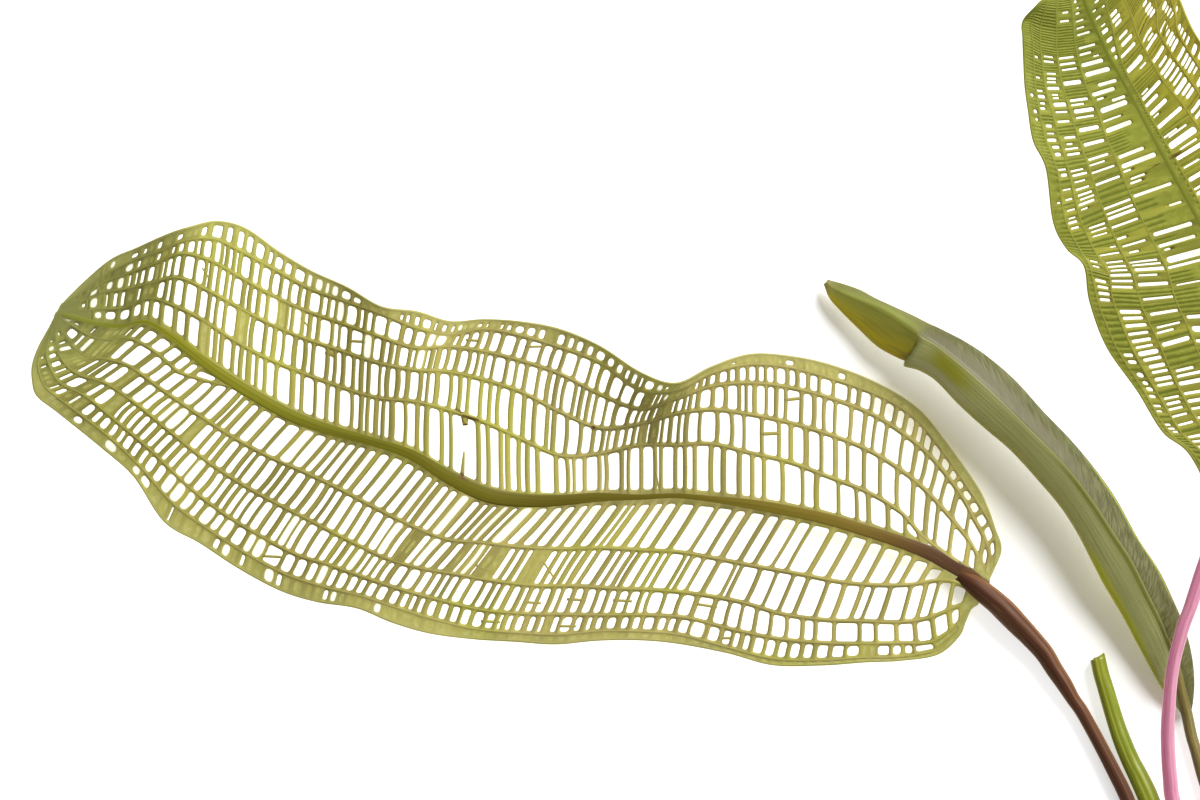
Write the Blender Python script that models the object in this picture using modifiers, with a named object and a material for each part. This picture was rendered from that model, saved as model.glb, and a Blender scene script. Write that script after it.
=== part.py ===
"""A lace plant lying flat: two lace leaves, a folded young leaf, a flower stalk, a cut stalk, a corm and roots.

Metres, +Z up. The plant lies on z = 0 with the large blade pointing to -X and the roots to -Y.
"""
import math

import bmesh
import bpy
from mathutils import Vector

# Driving sizes
BLADE_LENGTH = 0.214
BLADE_LENGTH_PIXELS = 972.6
BLADE_THICKNESS = 0.0008
FOLDED_THICKNESS = 0.0009
VEIN_WIDTH = 0.0018
SMALLEST_WINDOW = 0.0034
CORM_RADII = (0.013, 0.011, 0.0095)
CORM_LIFT = 0.0085
CORM_GAP = 0.0003
CORM_APPROACH = 0.003
RUFFLE_POWER = 1.6

# One photo pixel in metres, and the photo pixels over the origin and over the corm
PIXEL = BLADE_LENGTH / BLADE_LENGTH_PIXELS
ORIGIN_PIXEL = (768.5, 629.6)
CORM_PIXEL = (1290, 1010)

# Large blade: stations from tip to base, each from the upper margin over the midrib to the lower margin, in pixels
LARGE_NET = (
    ((62, 304), (61, 306), (60, 308), (59, 310), (58, 311.5), (57, 313), (56, 315), (55, 317), (54, 319),
     (53, 321), (52, 323)),
    ((112, 260), (109, 273), (106, 282), (103, 293), (101, 309), (100, 324), (75, 348), (58, 352), (46, 356),
     (38, 361), (33, 365)),
    ((167, 236), (162, 251), (158, 263), (154, 283), (150, 299), (147, 322), (107, 359), (81, 375), (62, 384),
     (47, 389), (38, 396)),
    ((218, 222), (214, 239), (211, 261), (207, 290), (203, 320), (200, 358), (160, 388), (138, 405), (120, 424),
     (110, 437), (104, 448)),
    ((279, 252), (275, 270), (271, 295), (268, 323), (264, 357), (262, 399), (229, 434), (207, 461), (187, 485),
     (173, 503), (165, 521)),
    ((348, 288), (345, 301), (342, 323), (340, 350), (338, 386), (336, 431), (302, 471), (277, 503), (256, 533),
     (245, 553), (240, 568)),
    ((417, 312), (416, 328), (415, 348), (414, 370), (413, 401), (412, 455), (371, 505), (349, 540), (331, 565),
     (321, 586), (317, 601)),
    ((484, 320), (484, 329), (484, 351), (484, 380), (485, 422), (486, 494), (446, 539), (420, 568), (405, 590),
     (396, 607), (393, 621)),
    ((560, 330), (560, 347), (560, 374), (560, 412), (561, 455), (562, 500), (520, 547), (498, 581), (482, 610),
     (475, 629), (472, 638)),
    ((641, 373), (640, 390), (640, 406), (640, 424), (640, 445), (640, 497), (602, 548), (577, 586), (566, 614),
     (559, 633), (556, 643)),
    ((712, 366), (712, 374), (712, 387), (712, 409), (712, 444), (712, 499), (679, 552), (657, 590), (648, 615),
     (643, 630), (641, 639)),
    ((791, 357), (791, 369), (791, 388), (790, 423), (790, 462), (790, 511), (757, 566), (741, 602), (734, 630),
     (729, 645), (727, 652)),
    ((878, 384), (875, 394), (872, 414), (867, 450), (867, 492), (868, 531), (840, 582), (826, 620), (825, 643),
     (822, 656), (821, 664)),
    ((945, 441), (938, 447), (931, 459), (924, 489), (921, 530), (928, 553), (910, 584), (900, 620), (901, 640),
     (901, 651), (901, 659)),
    ((988, 509), (983, 512), (974, 519), (966, 541), (962, 560), (968, 576), (958, 590), (950, 609), (950, 625),
     (952, 634), (955, 641)),
    ((992, 583), (991, 584), (990, 586), (989, 588), (988, 590), (987, 591), (986, 592), (985, 594), (984, 596),
     (983, 598), (982, 600)),
)

# Heights of the upper margin, the midrib and the lower margin at the stations of the large blade, in millimetres
LARGE_HEIGHTS = (
    (0.8, 0.8, 0.8), (1.6, 1.0, 0.5), (6.5, 4.2, 0.6), (6.0, 6.5, 3.5), (2.0, 5.0, 4.0), (6.5, 3.8, 0.6),
    (7.0, 4.2, 2.5), (0.6, 5.0, 3.5), (5.0, 3.6, 0.6), (13.0, 3.0, 2.0), (12.0, 3.0, 2.5), (3.0, 3.0, 0.5),
    (0.6, 3.0, 2.0), (1.2, 2.9, 1.5), (2.6, 2.7, 1.8), (2.6, 2.6, 2.6),
)

# Upper blade: stations from tip to base, each from the right margin over the midrib to the left margin, in pixels
UPPER_NET = (
    ((1070, -31), (1069, -31), (1067, -31), (1066, -30), (1065, -29), (1063, -28), (1061, -27), (1060, -26),
     (1059, -25), (1058, -23), (1057, -21)),
    ((1148, -34), (1138, -28), (1126, -19), (1112, -8), (1098, 2), (1085, 12), (1076, 15), (1056, 18), (1042, 20),
     (1033, 21), (1023, 22)),
    ((1194, 17), (1187, 25), (1176, 36), (1163, 52), (1146, 69), (1126, 88), (1094, 98), (1068, 103), (1050, 104),
     (1037, 104), (1026, 103)),
    ((1243, 92), (1235, 104), (1225, 118), (1212, 134), (1195, 153), (1173, 172), (1124, 186), (1097, 193),
     (1075, 198), (1063, 200), (1053, 202)),
    ((1300, 182), (1291, 195), (1280, 211), (1266, 228), (1247, 246), (1222, 265), (1169, 283), (1136, 286),
     (1109, 285), (1096, 282), (1086, 278)),
    ((1349, 285), (1340, 297), (1328, 311), (1312, 327), (1291, 344), (1265, 360), (1207, 372), (1175, 374),
     (1151, 377), (1141, 378), (1131, 378)),
    ((1388, 415), (1380, 424), (1369, 434), (1353, 446), (1331, 458), (1302, 470), (1254, 478), (1228, 474),
     (1211, 468), (1202, 464), (1194, 459)),
    ((1402, 573), (1395, 578), (1385, 584), (1371, 590), (1353, 595), (1332, 600), (1302, 606), (1281, 606),
     (1267, 604), (1258, 602), (1250, 600)),
    ((1363, 728), (1361, 729), (1358, 729), (1355, 730), (1352, 730), (1348, 730), (1344, 731), (1341, 731),
     (1338, 731), (1335, 732), (1332, 732)),
)

# Heights of the right margin, the midrib and the left margin at the stations of the upper blade, in millimetres
UPPER_HEIGHTS = (
    (2.0, 2.0, 2.0), (3.0, 2.4, 4.0), (6.0, 2.6, 5.0), (5.0, 3.0, 6.5), (0.6, 3.0, 4.5), (4.5, 3.0, 2.0),
    (3.0, 3.0, 3.0), (0.6, 3.0, 0.6), (2.4, 2.4, 2.4),
)

# Folded blade: left margin, ridge and right margin in pixels, then their heights in millimetres
FOLDED_STATIONS = (
    ((826, 286), (828, 283), (831, 281), 1.8, 2.4, 1.9),
    ((842, 312), (855, 299), (866, 294), 2.4, 4.4, 3.0),
    ((872, 340), (886, 319), (902, 311), 3.6, 6.8, 4.8),
    ((904, 362), (930, 339), (948, 331), 4.9, 9.2, 6.2),
    ((941, 387), (965, 366), (990, 358), 6.2, 11.0, 6.8),
    ((982, 424), (1003, 402), (1031, 399), 7.2, 12.1, 6.9),
    ((1022, 461), (1043, 442), (1066, 436), 7.6, 12.5, 6.8),
    ((1058, 505), (1078, 484), (1103, 481), 7.4, 12.2, 6.4),
    ((1084, 550), (1109, 528), (1134, 529), 6.6, 11.2, 5.8),
    ((1108, 594), (1134, 568), (1159, 569), 5.4, 9.8, 4.9),
    ((1134, 638), (1153, 607), (1177, 609), 3.8, 8.0, 3.9),
    ((1157, 681), (1168, 645), (1190, 648), 2.2, 5.6, 2.7),
    ((1176, 702), (1183, 697), (1192, 696), 1.4, 2.9, 1.5),
)
FOLDED_BULGE = 0.06

# Stalks: pixel x, pixel y, height and radius in millimetres, from the blade or the free end towards the corm
LARGE_STALK = (
    (990, 593.5, 2.6, 2.1), (1000, 606, 2.4, 2.0), (1020, 626, 2.1, 1.9), (1040, 647, 1.9, 1.8),
    (1056, 674, 1.7, 1.6), (1077, 705, 1.6, 1.5), (1098, 744, 1.6, 1.45), (1126, 800, 1.7, 1.55),
    (1138, 832, 2.0, 1.6), (1149, 868, 2.7, 1.6), (1160, 910, 4.0, 1.6), (1178, 950, 5.4, 1.6),
)
UPPER_STALK = (
    (1349, 735, 2.4, 1.4), (1350, 770, 1.7, 1.4), (1349, 810, 1.6, 1.4), (1346, 850, 2.0, 1.4),
    (1341, 890, 3.6, 1.45), (1335, 925, 5.4, 1.5),
)
FOLDED_STALK = (
    (1185.5, 704, 1.8, 1.3), (1190, 728, 1.5, 1.3), (1196, 750, 1.4, 1.25), (1203, 775, 1.4, 1.3),
    (1213, 805, 1.6, 1.35), (1228, 840, 2.2, 1.4), (1248, 875, 3.4, 1.4), (1272, 905, 4.8, 1.4),
    (1286, 930, 6.0, 1.4),
)
FLOWER_STALK = (
    (1275, 435, 13.2, 1.45), (1250, 465, 12.9, 1.5), (1228, 500, 12.6, 1.55), (1212, 535, 12.4, 1.6),
    (1200, 568, 12.2, 1.6), (1189.5, 600, 12.0, 1.55), (1176, 640, 11.6, 1.55), (1169, 680, 10.6, 1.55),
    (1166.5, 720, 8.6, 1.55), (1167.5, 760, 6.4, 1.6), (1172, 800, 4.6, 1.7), (1184, 832, 3.6, 1.75),
    (1199, 866, 3.8, 1.75), (1219, 898, 4.8, 1.75), (1243, 920, 5.8, 1.75), (1262, 938, 6.4, 1.75),
)
CUT_STALK = (
    (1097.5, 657, 1.6, 1.45), (1103, 680, 1.6, 1.5), (1110, 706, 1.7, 1.6), (1119, 735, 1.8, 1.7),
    (1131, 766, 1.9, 1.8), (1148, 800, 2.0, 2.0), (1159, 832, 2.1, 2.0), (1169, 866, 2.5, 2.0),
    (1184, 905, 3.8, 2.0), (1208, 940, 5.2, 2.0), (1230, 958, 6.0, 2.0),
)
SPIKE_ONE = (
    (1277, 427.5, 13.5, 0.9), (1284, 411, 13.8, 1.8), (1304, 381, 14.2, 2.9), (1331, 344, 14.3, 3.1),
    (1355, 305, 14.0, 2.6), (1372, 268, 13.8, 1.0),
)
SPIKE_TWO = (
    (1286.5, 435.5, 13.5, 0.9), (1303, 431, 13.8, 1.8), (1335, 424, 14.2, 2.9), (1373, 413, 14.3, 3.1),
    (1409, 397, 14.0, 2.6), (1441, 376, 13.8, 1.0),
)

# Where each stalk meets the corm, in degrees from +X, and the height angle of those places
STALK_AZIMUTHS = {"large": 162, "cut": 135, "flower": 108, "folded": 84, "upper": 58}
STALK_ELEVATION = -12

# Roots: count, first azimuth and step in degrees, lengths and radii in metres
ROOT_COUNT = 10
ROOT_FIRST_AZIMUTH = 198
ROOT_AZIMUTH_STEP = 16
ROOT_ELEVATION = -32
ROOT_LENGTHS = (0.038, 0.053)
ROOT_RADIUS = 0.0008
ROOT_TIP_RADIUS = 0.0004
ROOT_POINTS = 10
ROOT_WOBBLE = 0.0042

# Points along a stalk's tube
STALK_POINTS = 17

# Colours and roughness
LACE_GREEN = (0.42, 0.40, 0.10)
UPPER_GREEN = (0.27, 0.31, 0.04)
FOLDED_GREEN = (0.19, 0.22, 0.07)
PETIOLE_BROWN = (0.09, 0.035, 0.025)
OLIVE_BROWN = (0.10, 0.08, 0.025)
STALK_PINK = (0.55, 0.24, 0.32)
FLOWER_PINK = (0.72, 0.48, 0.58)
CUT_GREEN = (0.20, 0.27, 0.01)
CORM_BROWN = (0.13, 0.075, 0.04)
ROOT_CREAM = (0.55, 0.47, 0.34)


def place(pixel_x, pixel_y, height):
    """The point in metres over a photo pixel, at a height in metres."""
    return Vector(((pixel_x - ORIGIN_PIXEL[0]) * PIXEL, (ORIGIN_PIXEL[1] - pixel_y) * PIXEL, height))


def on_corm(azimuth, elevation, gap):
    """The point a gap off the corm's surface, square to it, where two angles in degrees meet the surface."""
    turn, rise = math.radians(azimuth), math.radians(elevation)
    direction = Vector((math.cos(rise) * math.cos(turn), math.cos(rise) * math.sin(turn), math.sin(rise)))
    surface = Vector(radius * part for radius, part in zip(CORM_RADII, direction))
    normal = Vector(part / radius for radius, part in zip(CORM_RADII, direction)).normalized()
    return place(*CORM_PIXEL, CORM_LIFT) + surface + normal * gap


def smooth(points, count):
    """Evenly spaced values on a smooth curve through the points, each a list of numbers of one length."""
    ends = [[2 * a - b for a, b in zip(points[0], points[1])], [2 * a - b for a, b in zip(points[-1], points[-2])]]
    padded = [ends[0], *points, ends[1]]
    values = []
    for step in range(count):
        travel = step * (len(points) - 1) / (count - 1)
        index = min(int(travel), len(points) - 2)
        t = travel - index
        before, start, end, after = padded[index:index + 4]
        values.append([0.5 * (2 * b + (c - a) * t + (2 * a - 5 * b + 4 * c - d) * t ** 2
                              + (3 * b - a - 3 * c + d) * t ** 3)
                       for a, b, c, d in zip(before, start, end, after)])
    return values


def material(name, colour, roughness):
    """A plain finish with one colour and one roughness."""
    finish = bpy.data.materials.new(name)
    finish.use_nodes = True
    shader = finish.node_tree.nodes["Principled BSDF"]
    shader.inputs["Base Color"].default_value = (*colour, 1)
    shader.inputs["Roughness"].default_value = roughness
    shader.inputs["Metallic"].default_value = 0
    return finish


def add(name, data, colour, roughness):
    """Put mesh or curve data into the plant's collection as a named object with its own finish."""
    thing = bpy.data.objects.new(name, data)
    thing.data.materials.append(material(name, colour, roughness))
    plant.objects.link(thing)
    return thing


def thicken(thing, thickness):
    """Give an open sheet its thickness, half on each side."""
    shell = thing.modifiers.new("thickness", "SOLIDIFY")
    shell.thickness = thickness
    shell.offset = 0


def ruffled(points, heights):
    """Points of one station with their heights: the rise to each margin grows with a power of the way to it."""
    middle = len(points) // 2
    centre = Vector(points[middle])
    placed = []
    for index, point in enumerate(points):
        margin = 0 if index < middle else len(points) - 1
        margin_height = heights[0] if index < middle else heights[2]
        way = (Vector(point) - centre).length / (Vector(points[margin]) - centre).length
        height = heights[1] + (margin_height - heights[1]) * way ** RUFFLE_POWER
        placed.append(place(*point, height / 1000))
    return placed


def lace_blade(name, net, heights, colour):
    """A sheet of veins: a grid moved onto the stations' points, with every wide enough cell opened."""
    stations, rails = len(net), len(net[0])
    rows = [ruffled(points, levels) for points, levels in zip(net, heights)]
    cage = bmesh.new()
    bmesh.ops.create_grid(cage, x_segments=stations - 1, y_segments=rails - 1, size=0.5)
    for vertex in cage.verts:
        station = round((vertex.co.x + 0.5) * (stations - 1))
        rail = round((0.5 - vertex.co.y) * (rails - 1))
        vertex.co = rows[station][rail]
    wide = [face for face in cage.faces if min(edge.calc_length() for edge in face.edges) > SMALLEST_WINDOW]
    bmesh.ops.inset_individual(cage, faces=wide, thickness=VEIN_WIDTH / 2, use_even_offset=True)
    bmesh.ops.delete(cage, geom=wide, context="FACES")
    mesh = bpy.data.meshes.new(name)
    cage.to_mesh(mesh)
    cage.free()
    thicken(add(name, mesh, colour, 0.55), BLADE_THICKNESS)


def folded_blade(name, colour):
    """A young blade folded down from its ridge: each half runs from the ridge to its margin in a shallow bulge."""
    rails = 7
    cage = bmesh.new()
    bmesh.ops.create_grid(cage, x_segments=len(FOLDED_STATIONS) - 1, y_segments=rails - 1, size=0.5)
    middle = rails // 2
    for vertex in cage.verts:
        station = round((vertex.co.x + 0.5) * (len(FOLDED_STATIONS) - 1))
        left, ridge, right, left_height, ridge_height, right_height = FOLDED_STATIONS[station]
        rail = round((vertex.co.y + 0.5) * (rails - 1))
        way = abs(rail - middle) / middle
        side, side_height = (left, left_height) if rail < middle else (right, right_height)
        bulge = FOLDED_BULGE * math.sin(math.pi * way)
        point = Vector(ridge).lerp(Vector(side), way + bulge)
        vertex.co = place(*point, (ridge_height + (side_height - ridge_height) * (way - bulge)) / 1000)
    mesh = bpy.data.meshes.new(name)
    cage.to_mesh(mesh)
    cage.free()
    thicken(add(name, mesh, colour, 0.45), FOLDED_THICKNESS)


def tube(name, points, radii, bevel_resolution, colour, roughness):
    """A closed tube through points in metres, with a radius at each."""
    curve = bpy.data.curves.new(name, "CURVE")
    curve.dimensions = "3D"
    curve.bevel_depth = 1
    curve.bevel_resolution = bevel_resolution
    curve.use_fill_caps = True
    curve.render_resolution_u = 0
    line = curve.splines.new("POLY")
    line.points.add(len(points) - 1)
    for knot, point, radius in zip(line.points, points, radii):
        knot.co = (*point, 1)
        knot.radius = radius
    return add(name, curve, colour, roughness)


def stalk(name, route, corm_place, colour, roughness):
    """A stalk along its route, ending square to the corm's surface where it has a place on it."""
    path = [[*place(x, y, height / 1000), radius / 1000] for x, y, height, radius in route]
    if corm_place is not None:
        for gap in (CORM_APPROACH, CORM_GAP):
            path.append([*on_corm(corm_place, STALK_ELEVATION, gap), path[-1][3]])
    values = smooth(path, STALK_POINTS)
    return tube(name, [value[:3] for value in values], [value[3] for value in values], 2, colour, roughness)


def corm():
    """A squat corm, cut flat where it rests on the ground."""
    body = bmesh.new()
    bmesh.ops.create_uvsphere(body, u_segments=20, v_segments=12, radius=1)
    bmesh.ops.scale(body, vec=CORM_RADII, verts=body.verts)
    bmesh.ops.translate(body, vec=place(*CORM_PIXEL, CORM_LIFT), verts=body.verts)
    geometry = body.verts[:] + body.edges[:] + body.faces[:]
    cut = bmesh.ops.bisect_plane(body, geom=geometry, plane_co=(0, 0, 0), plane_no=(0, 0, -1), clear_outer=True)
    rim = [part for part in cut["geom_cut"] if isinstance(part, bmesh.types.BMEdge)]
    bmesh.ops.holes_fill(body, edges=rim)
    mesh = bpy.data.meshes.new("corm")
    body.to_mesh(mesh)
    body.free()
    mesh.shade_smooth()
    mesh.set_sharp_from_angle(angle=math.radians(40))
    add("corm", mesh, CORM_BROWN, 0.8)


def root(number):
    """One root: straight out of the corm, down to the ground and away from it in a slow wave."""
    azimuth = ROOT_FIRST_AZIMUTH + number * ROOT_AZIMUTH_STEP
    turn = math.radians(azimuth)
    start = on_corm(azimuth, ROOT_ELEVATION, CORM_GAP)
    outwards, sideways = Vector((math.cos(turn), math.sin(turn), 0)), Vector((-math.sin(turn), math.cos(turn), 0))
    shortest, longest = ROOT_LENGTHS
    length = shortest + (longest - shortest) * math.sin(math.pi * number / (ROOT_COUNT - 1))
    points, radii = [], []
    for step in range(ROOT_POINTS):
        way = step / (ROOT_POINTS - 1)
        radius = ROOT_RADIUS + (ROOT_TIP_RADIUS - ROOT_RADIUS) * way
        wave = ROOT_WOBBLE * way * math.sin(2.2 * number + 5.5 * way)
        point = start + outwards * length * way + sideways * wave
        point.z = radius + (start.z - radius) * (1 - way) ** 5
        points.append(point)
        radii.append(radius)
    tube(f"root_{number + 1}", points, radii, 1, ROOT_CREAM, 0.7)


for thing in list(bpy.data.objects):
    bpy.data.objects.remove(thing, do_unlink=True)

plant = bpy.data.collections.new("madagascar_lace_plant")
bpy.context.scene.collection.children.link(plant)

lace_blade("lace_leaf_blade", LARGE_NET, LARGE_HEIGHTS, LACE_GREEN)
lace_blade("upper_leaf_blade", UPPER_NET, UPPER_HEIGHTS, UPPER_GREEN)
folded_blade("folded_leaf_blade", FOLDED_GREEN)
stalk("lace_leaf_stalk", LARGE_STALK, STALK_AZIMUTHS["large"], PETIOLE_BROWN, 0.4)
stalk("upper_leaf_stalk", UPPER_STALK, STALK_AZIMUTHS["upper"], OLIVE_BROWN, 0.4)
stalk("folded_leaf_stalk", FOLDED_STALK, STALK_AZIMUTHS["folded"], OLIVE_BROWN, 0.4)
stalk("flower_stalk", FLOWER_STALK, STALK_AZIMUTHS["flower"], STALK_PINK, 0.4)
stalk("cut_stalk", CUT_STALK, STALK_AZIMUTHS["cut"], CUT_GREEN, 0.35)
stalk("flower_spike_1", SPIKE_ONE, None, FLOWER_PINK, 0.6)
stalk("flower_spike_2", SPIKE_TWO, None, FLOWER_PINK, 0.6)
corm()
for root_number in range(ROOT_COUNT):
    root(root_number)
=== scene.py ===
import logging
import math
from dataclasses import dataclass, field
from enum import Enum

import bpy
import numpy as np
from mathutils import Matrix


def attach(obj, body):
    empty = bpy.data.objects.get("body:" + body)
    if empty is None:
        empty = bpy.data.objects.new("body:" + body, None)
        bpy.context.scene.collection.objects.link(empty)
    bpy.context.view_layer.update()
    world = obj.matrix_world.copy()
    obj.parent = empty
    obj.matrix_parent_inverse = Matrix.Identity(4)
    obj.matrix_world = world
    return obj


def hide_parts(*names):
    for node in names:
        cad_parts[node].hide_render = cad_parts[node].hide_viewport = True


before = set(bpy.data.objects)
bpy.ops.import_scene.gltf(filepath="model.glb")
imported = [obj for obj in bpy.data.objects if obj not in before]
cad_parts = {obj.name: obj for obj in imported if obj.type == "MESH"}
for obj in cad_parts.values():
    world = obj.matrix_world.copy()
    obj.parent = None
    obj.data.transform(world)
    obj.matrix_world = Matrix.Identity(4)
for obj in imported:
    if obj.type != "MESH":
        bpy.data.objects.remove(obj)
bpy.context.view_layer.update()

LOG = logging.getLogger("lace_plant")

# Sizes shared by the whole plant
PIXEL = 0.214 / 972.6
MILLIMETRE = 0.001
ORIGIN_PIXEL = (768.5, 629.6)
PHOTO_CENTRE = (600.0, 400.0)
PHOTO_WIDTH = 1200.0
FULL_TURN = 2 * math.pi
UPWARDS = np.array([0.0, 0.0, 1.0])

# Long veins of a lace blade: their number, and the midrib's place among them
RAILS = 11
MIDRIB_RAIL = 5

# Large blade: its long veins at each station from tip to base, as photo pixels x and y in turn.
# Each station runs from the upper margin over the midrib to the lower margin.
LARGE_STATIONS = (
    (62, 304, 60.5, 305.5, 59, 307.5, 57.5, 309.5, 56.5, 311.5, 55.5, 313, 54.5, 315, 54, 317, 53.5, 319,
     53, 320.5, 52.5, 322),
    (85, 282, 84, 291, 83, 297, 80, 302, 79, 311, 78, 318, 63, 333, 56, 338, 48, 341, 43, 344, 39, 347),
    (112, 260, 109, 273, 106, 282, 103, 293, 101, 309.5, 100, 324, 75, 348.5, 58, 352, 46.5, 356, 38, 361,
     33.5, 365),
    (138, 248.5, 134, 261, 131, 273, 128, 289, 125, 308, 122, 326, 90, 358, 67, 366, 52, 371.5, 40, 375.5,
     33.5, 381),
    (167, 236, 162, 251, 158, 263, 154, 283, 150, 299, 147, 322, 107, 359.5, 81, 375.5, 62, 384.5, 47, 389,
     38, 396),
    (190, 228.5, 186, 241, 183, 254, 179, 278, 175, 306, 172, 336, 131, 367, 107, 384, 86, 396.5, 70, 406.5,
     60, 413),
    (218, 222, 214, 239.5, 211, 261, 207, 290, 203, 320, 200, 358, 160, 388, 138, 405, 120, 424, 110, 437.5,
     104, 448),
    (246, 229, 242, 252, 239, 276.5, 235, 305.5, 231, 338.5, 228, 378, 193, 411, 171, 432, 152, 451, 141,
     467, 135, 476),
    (279, 252.5, 275, 270, 271, 295, 268, 323, 264, 357, 262, 399, 229, 434.5, 207, 461, 187, 485, 173, 503,
     165, 521),
    (312, 272, 309, 288.5, 306, 311, 303, 338, 300, 372, 298, 418, 265, 454.5, 242, 484, 221.5, 512, 208,
     529, 201, 542.5),
    (348, 288, 345, 301.5, 342, 323.5, 340, 350.5, 338, 386, 336, 431.5, 302, 471, 277, 503.5, 256, 533.5,
     245, 553, 240, 568),
    (382, 307.5, 381, 314, 379, 336.5, 377, 362.5, 376, 397.5, 374, 442, 338, 488, 314, 522.5, 295, 554,
     285, 574, 281, 590),
    (417, 312.5, 416, 328, 415, 348, 414, 370, 413, 401.5, 412, 455, 371, 505.5, 349, 540.5, 331, 565.5,
     321, 586, 317, 601),
    (450, 322, 449, 334.7, 449, 347, 448, 372, 448, 410, 448, 476.5, 410, 525, 386, 558, 371, 579.5, 361.5,
     596, 357.5, 607),
    (484, 320, 484, 329.5, 484, 351.7, 484, 380, 485, 422.5, 486, 494, 446, 539, 420, 568, 405, 590.5,
     396.5, 607.5, 393, 621.5),
    (521, 322.5, 521, 336, 521, 361, 522, 392.5, 523, 440, 524, 500, 481, 542.5, 455.5, 574, 440, 600, 433,
     619, 430, 632.5),
    (560, 330, 560, 347.5, 560, 374, 560, 412, 561, 455.8, 562, 500, 520, 547, 498, 581.5, 482, 610, 475,
     629, 472, 638),
    (600, 346.7, 600, 363, 600, 394.5, 600, 428, 600, 453.5, 600, 497, 561, 549, 539, 586, 526.5, 614,
     519.5, 633, 516.5, 640.5),
    (641, 373, 640, 390, 640, 409, 640, 424, 640, 445, 640, 497, 602, 548, 577, 586, 566, 614.5, 559, 634.5,
     556, 643),
    (676, 383.7, 676, 390, 676, 398.5, 676, 413.5, 676, 444.8, 676, 495.5, 640, 550, 616, 588.5, 606.5, 615,
     601.5, 631, 598.5, 639.5),
    (712, 367, 712, 373, 712, 386.2, 712, 409.7, 712, 444, 712, 499, 679, 552, 657, 590, 648.5, 615, 643.5,
     631.5, 641, 639),
    (750, 354.8, 750, 364.5, 750, 383, 750, 414.5, 750, 453, 750, 504, 716, 558.5, 696, 594, 687, 618, 681,
     635, 679, 642.5),
    (791, 357, 791, 368, 791, 388, 790, 423, 790, 462.5, 790, 511, 757, 566.5, 741, 602, 734.5, 630, 729.5,
     648, 727.5, 652),
    (833, 366.5, 832, 379, 831, 398.5, 830, 435, 830, 477.5, 830, 520, 799, 574, 782, 614, 779.5, 639,
     774.5, 659, 772.5, 664),
    (878, 384.5, 875, 394, 872, 414.5, 867.5, 450, 867, 492, 868, 531.5, 840.5, 582, 826.5, 620, 825.5, 643,
     822.5, 660, 821.5, 664),
    (916, 408, 911, 415, 906, 436, 901, 470.5, 900, 512, 900, 542, 877, 585, 863.5, 621, 863.5, 643.5,
     862.5, 657.5, 862.5, 661),
    (943, 440, 937, 443.5, 933, 459.5, 925, 490, 921, 535, 928, 553, 910, 584.5, 900, 622, 901, 643, 901,
     656.5, 901, 659.5),
    (975.5, 486, 968, 488, 960, 494, 953, 521, 948, 556, 950, 565, 938, 580, 927, 618, 930, 642, 935, 650,
     937, 653.5),
    (987, 509, 983, 511, 973, 518, 970, 543, 966, 568, 968, 575.5, 955, 582, 950, 609, 952, 629, 955, 634,
     957.5, 636),
    (994, 528, 992, 528, 984, 538, 979, 560, 980, 578, 981, 585, 972, 591, 966, 602, 964, 614, 964, 618,
     965, 620),
    (1000.5, 548, 996, 547, 989, 556, 985, 573, 986, 584, 986, 588.5, 977, 594, 973, 599, 971, 605, 970.5,
     607.5, 970.5, 609),
    (995, 567, 993, 572, 990, 578, 989, 585, 990.5, 589, 991, 592, 983, 596, 981, 598, 979, 601, 978.5, 603,
     978, 604),
)
# Heights in millimetres at the same stations: upper margin, midrib, lower margin
LARGE_HEIGHTS = (
    (0.8, 1.2, 2.5, 4, 6.5, 7.5, 5.5, 3.2, 2, 3, 6.5, 9, 6, 0.8, 0.6, 3, 5, 8, 12.4, 13, 10.5, 6, 3, 1.8,
     1.3, 1.5, 1.8, 2.2, 2.6, 2.6, 2.6, 2.6),
    (0.9, 0.9, 1.2, 2.2, 4.2, 6, 6.5, 6, 5.2, 4.3, 3.8, 3.8, 4.2, 4.8, 5, 4.2, 3.6, 3.2, 3, 3, 3, 3, 3, 3,
     2.9, 2.9, 2.8, 2.7, 2.7, 2.6, 2.6, 2.6),
    (0.8, 0.6, 0.6, 0.8, 0.8, 1.8, 3, 3.8, 4, 2, 0.7, 1.3, 2.5, 4, 3.3, 1.8, 0.7, 1.3, 2.2, 2.6, 2.5, 0.9,
     0.8, 1.3, 2, 2, 1.6, 1.6, 1.8, 2.2, 2.5, 2.6),
)

# Half widths in pixels of the large blade's midrib, against station numbers
LARGE_MIDRIB_WIDTHS = (
    (0, 2.4), (0.5, 4.4), (3, 5.2), (6, 6.4), (10, 6.8), (14, 8.2), (16, 6.3), (20, 6.4), (24, 7.2),
    (27, 8.2), (29, 9), (31, 9.6),
)
# How much wider the veins are at the tip, against station numbers
TIGHT_TIP = ((0, 1.5), (1.5, 1.35), (3, 1.1), (4.5, 1.0), (31, 1.0))
# The extra vein between the midrib and the first long vein near the tip: station, place between them
TIP_VEIN = (
    (0.2, 5.5), (1.5, 5.45), (2.2, 5.47), (3, 5.44), (4, 5.44), (5, 5.46), (6, 5.5), (6.6, 5.33),
    (7.2, 5.12), (7.7, 5), (31, 5),
)

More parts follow.
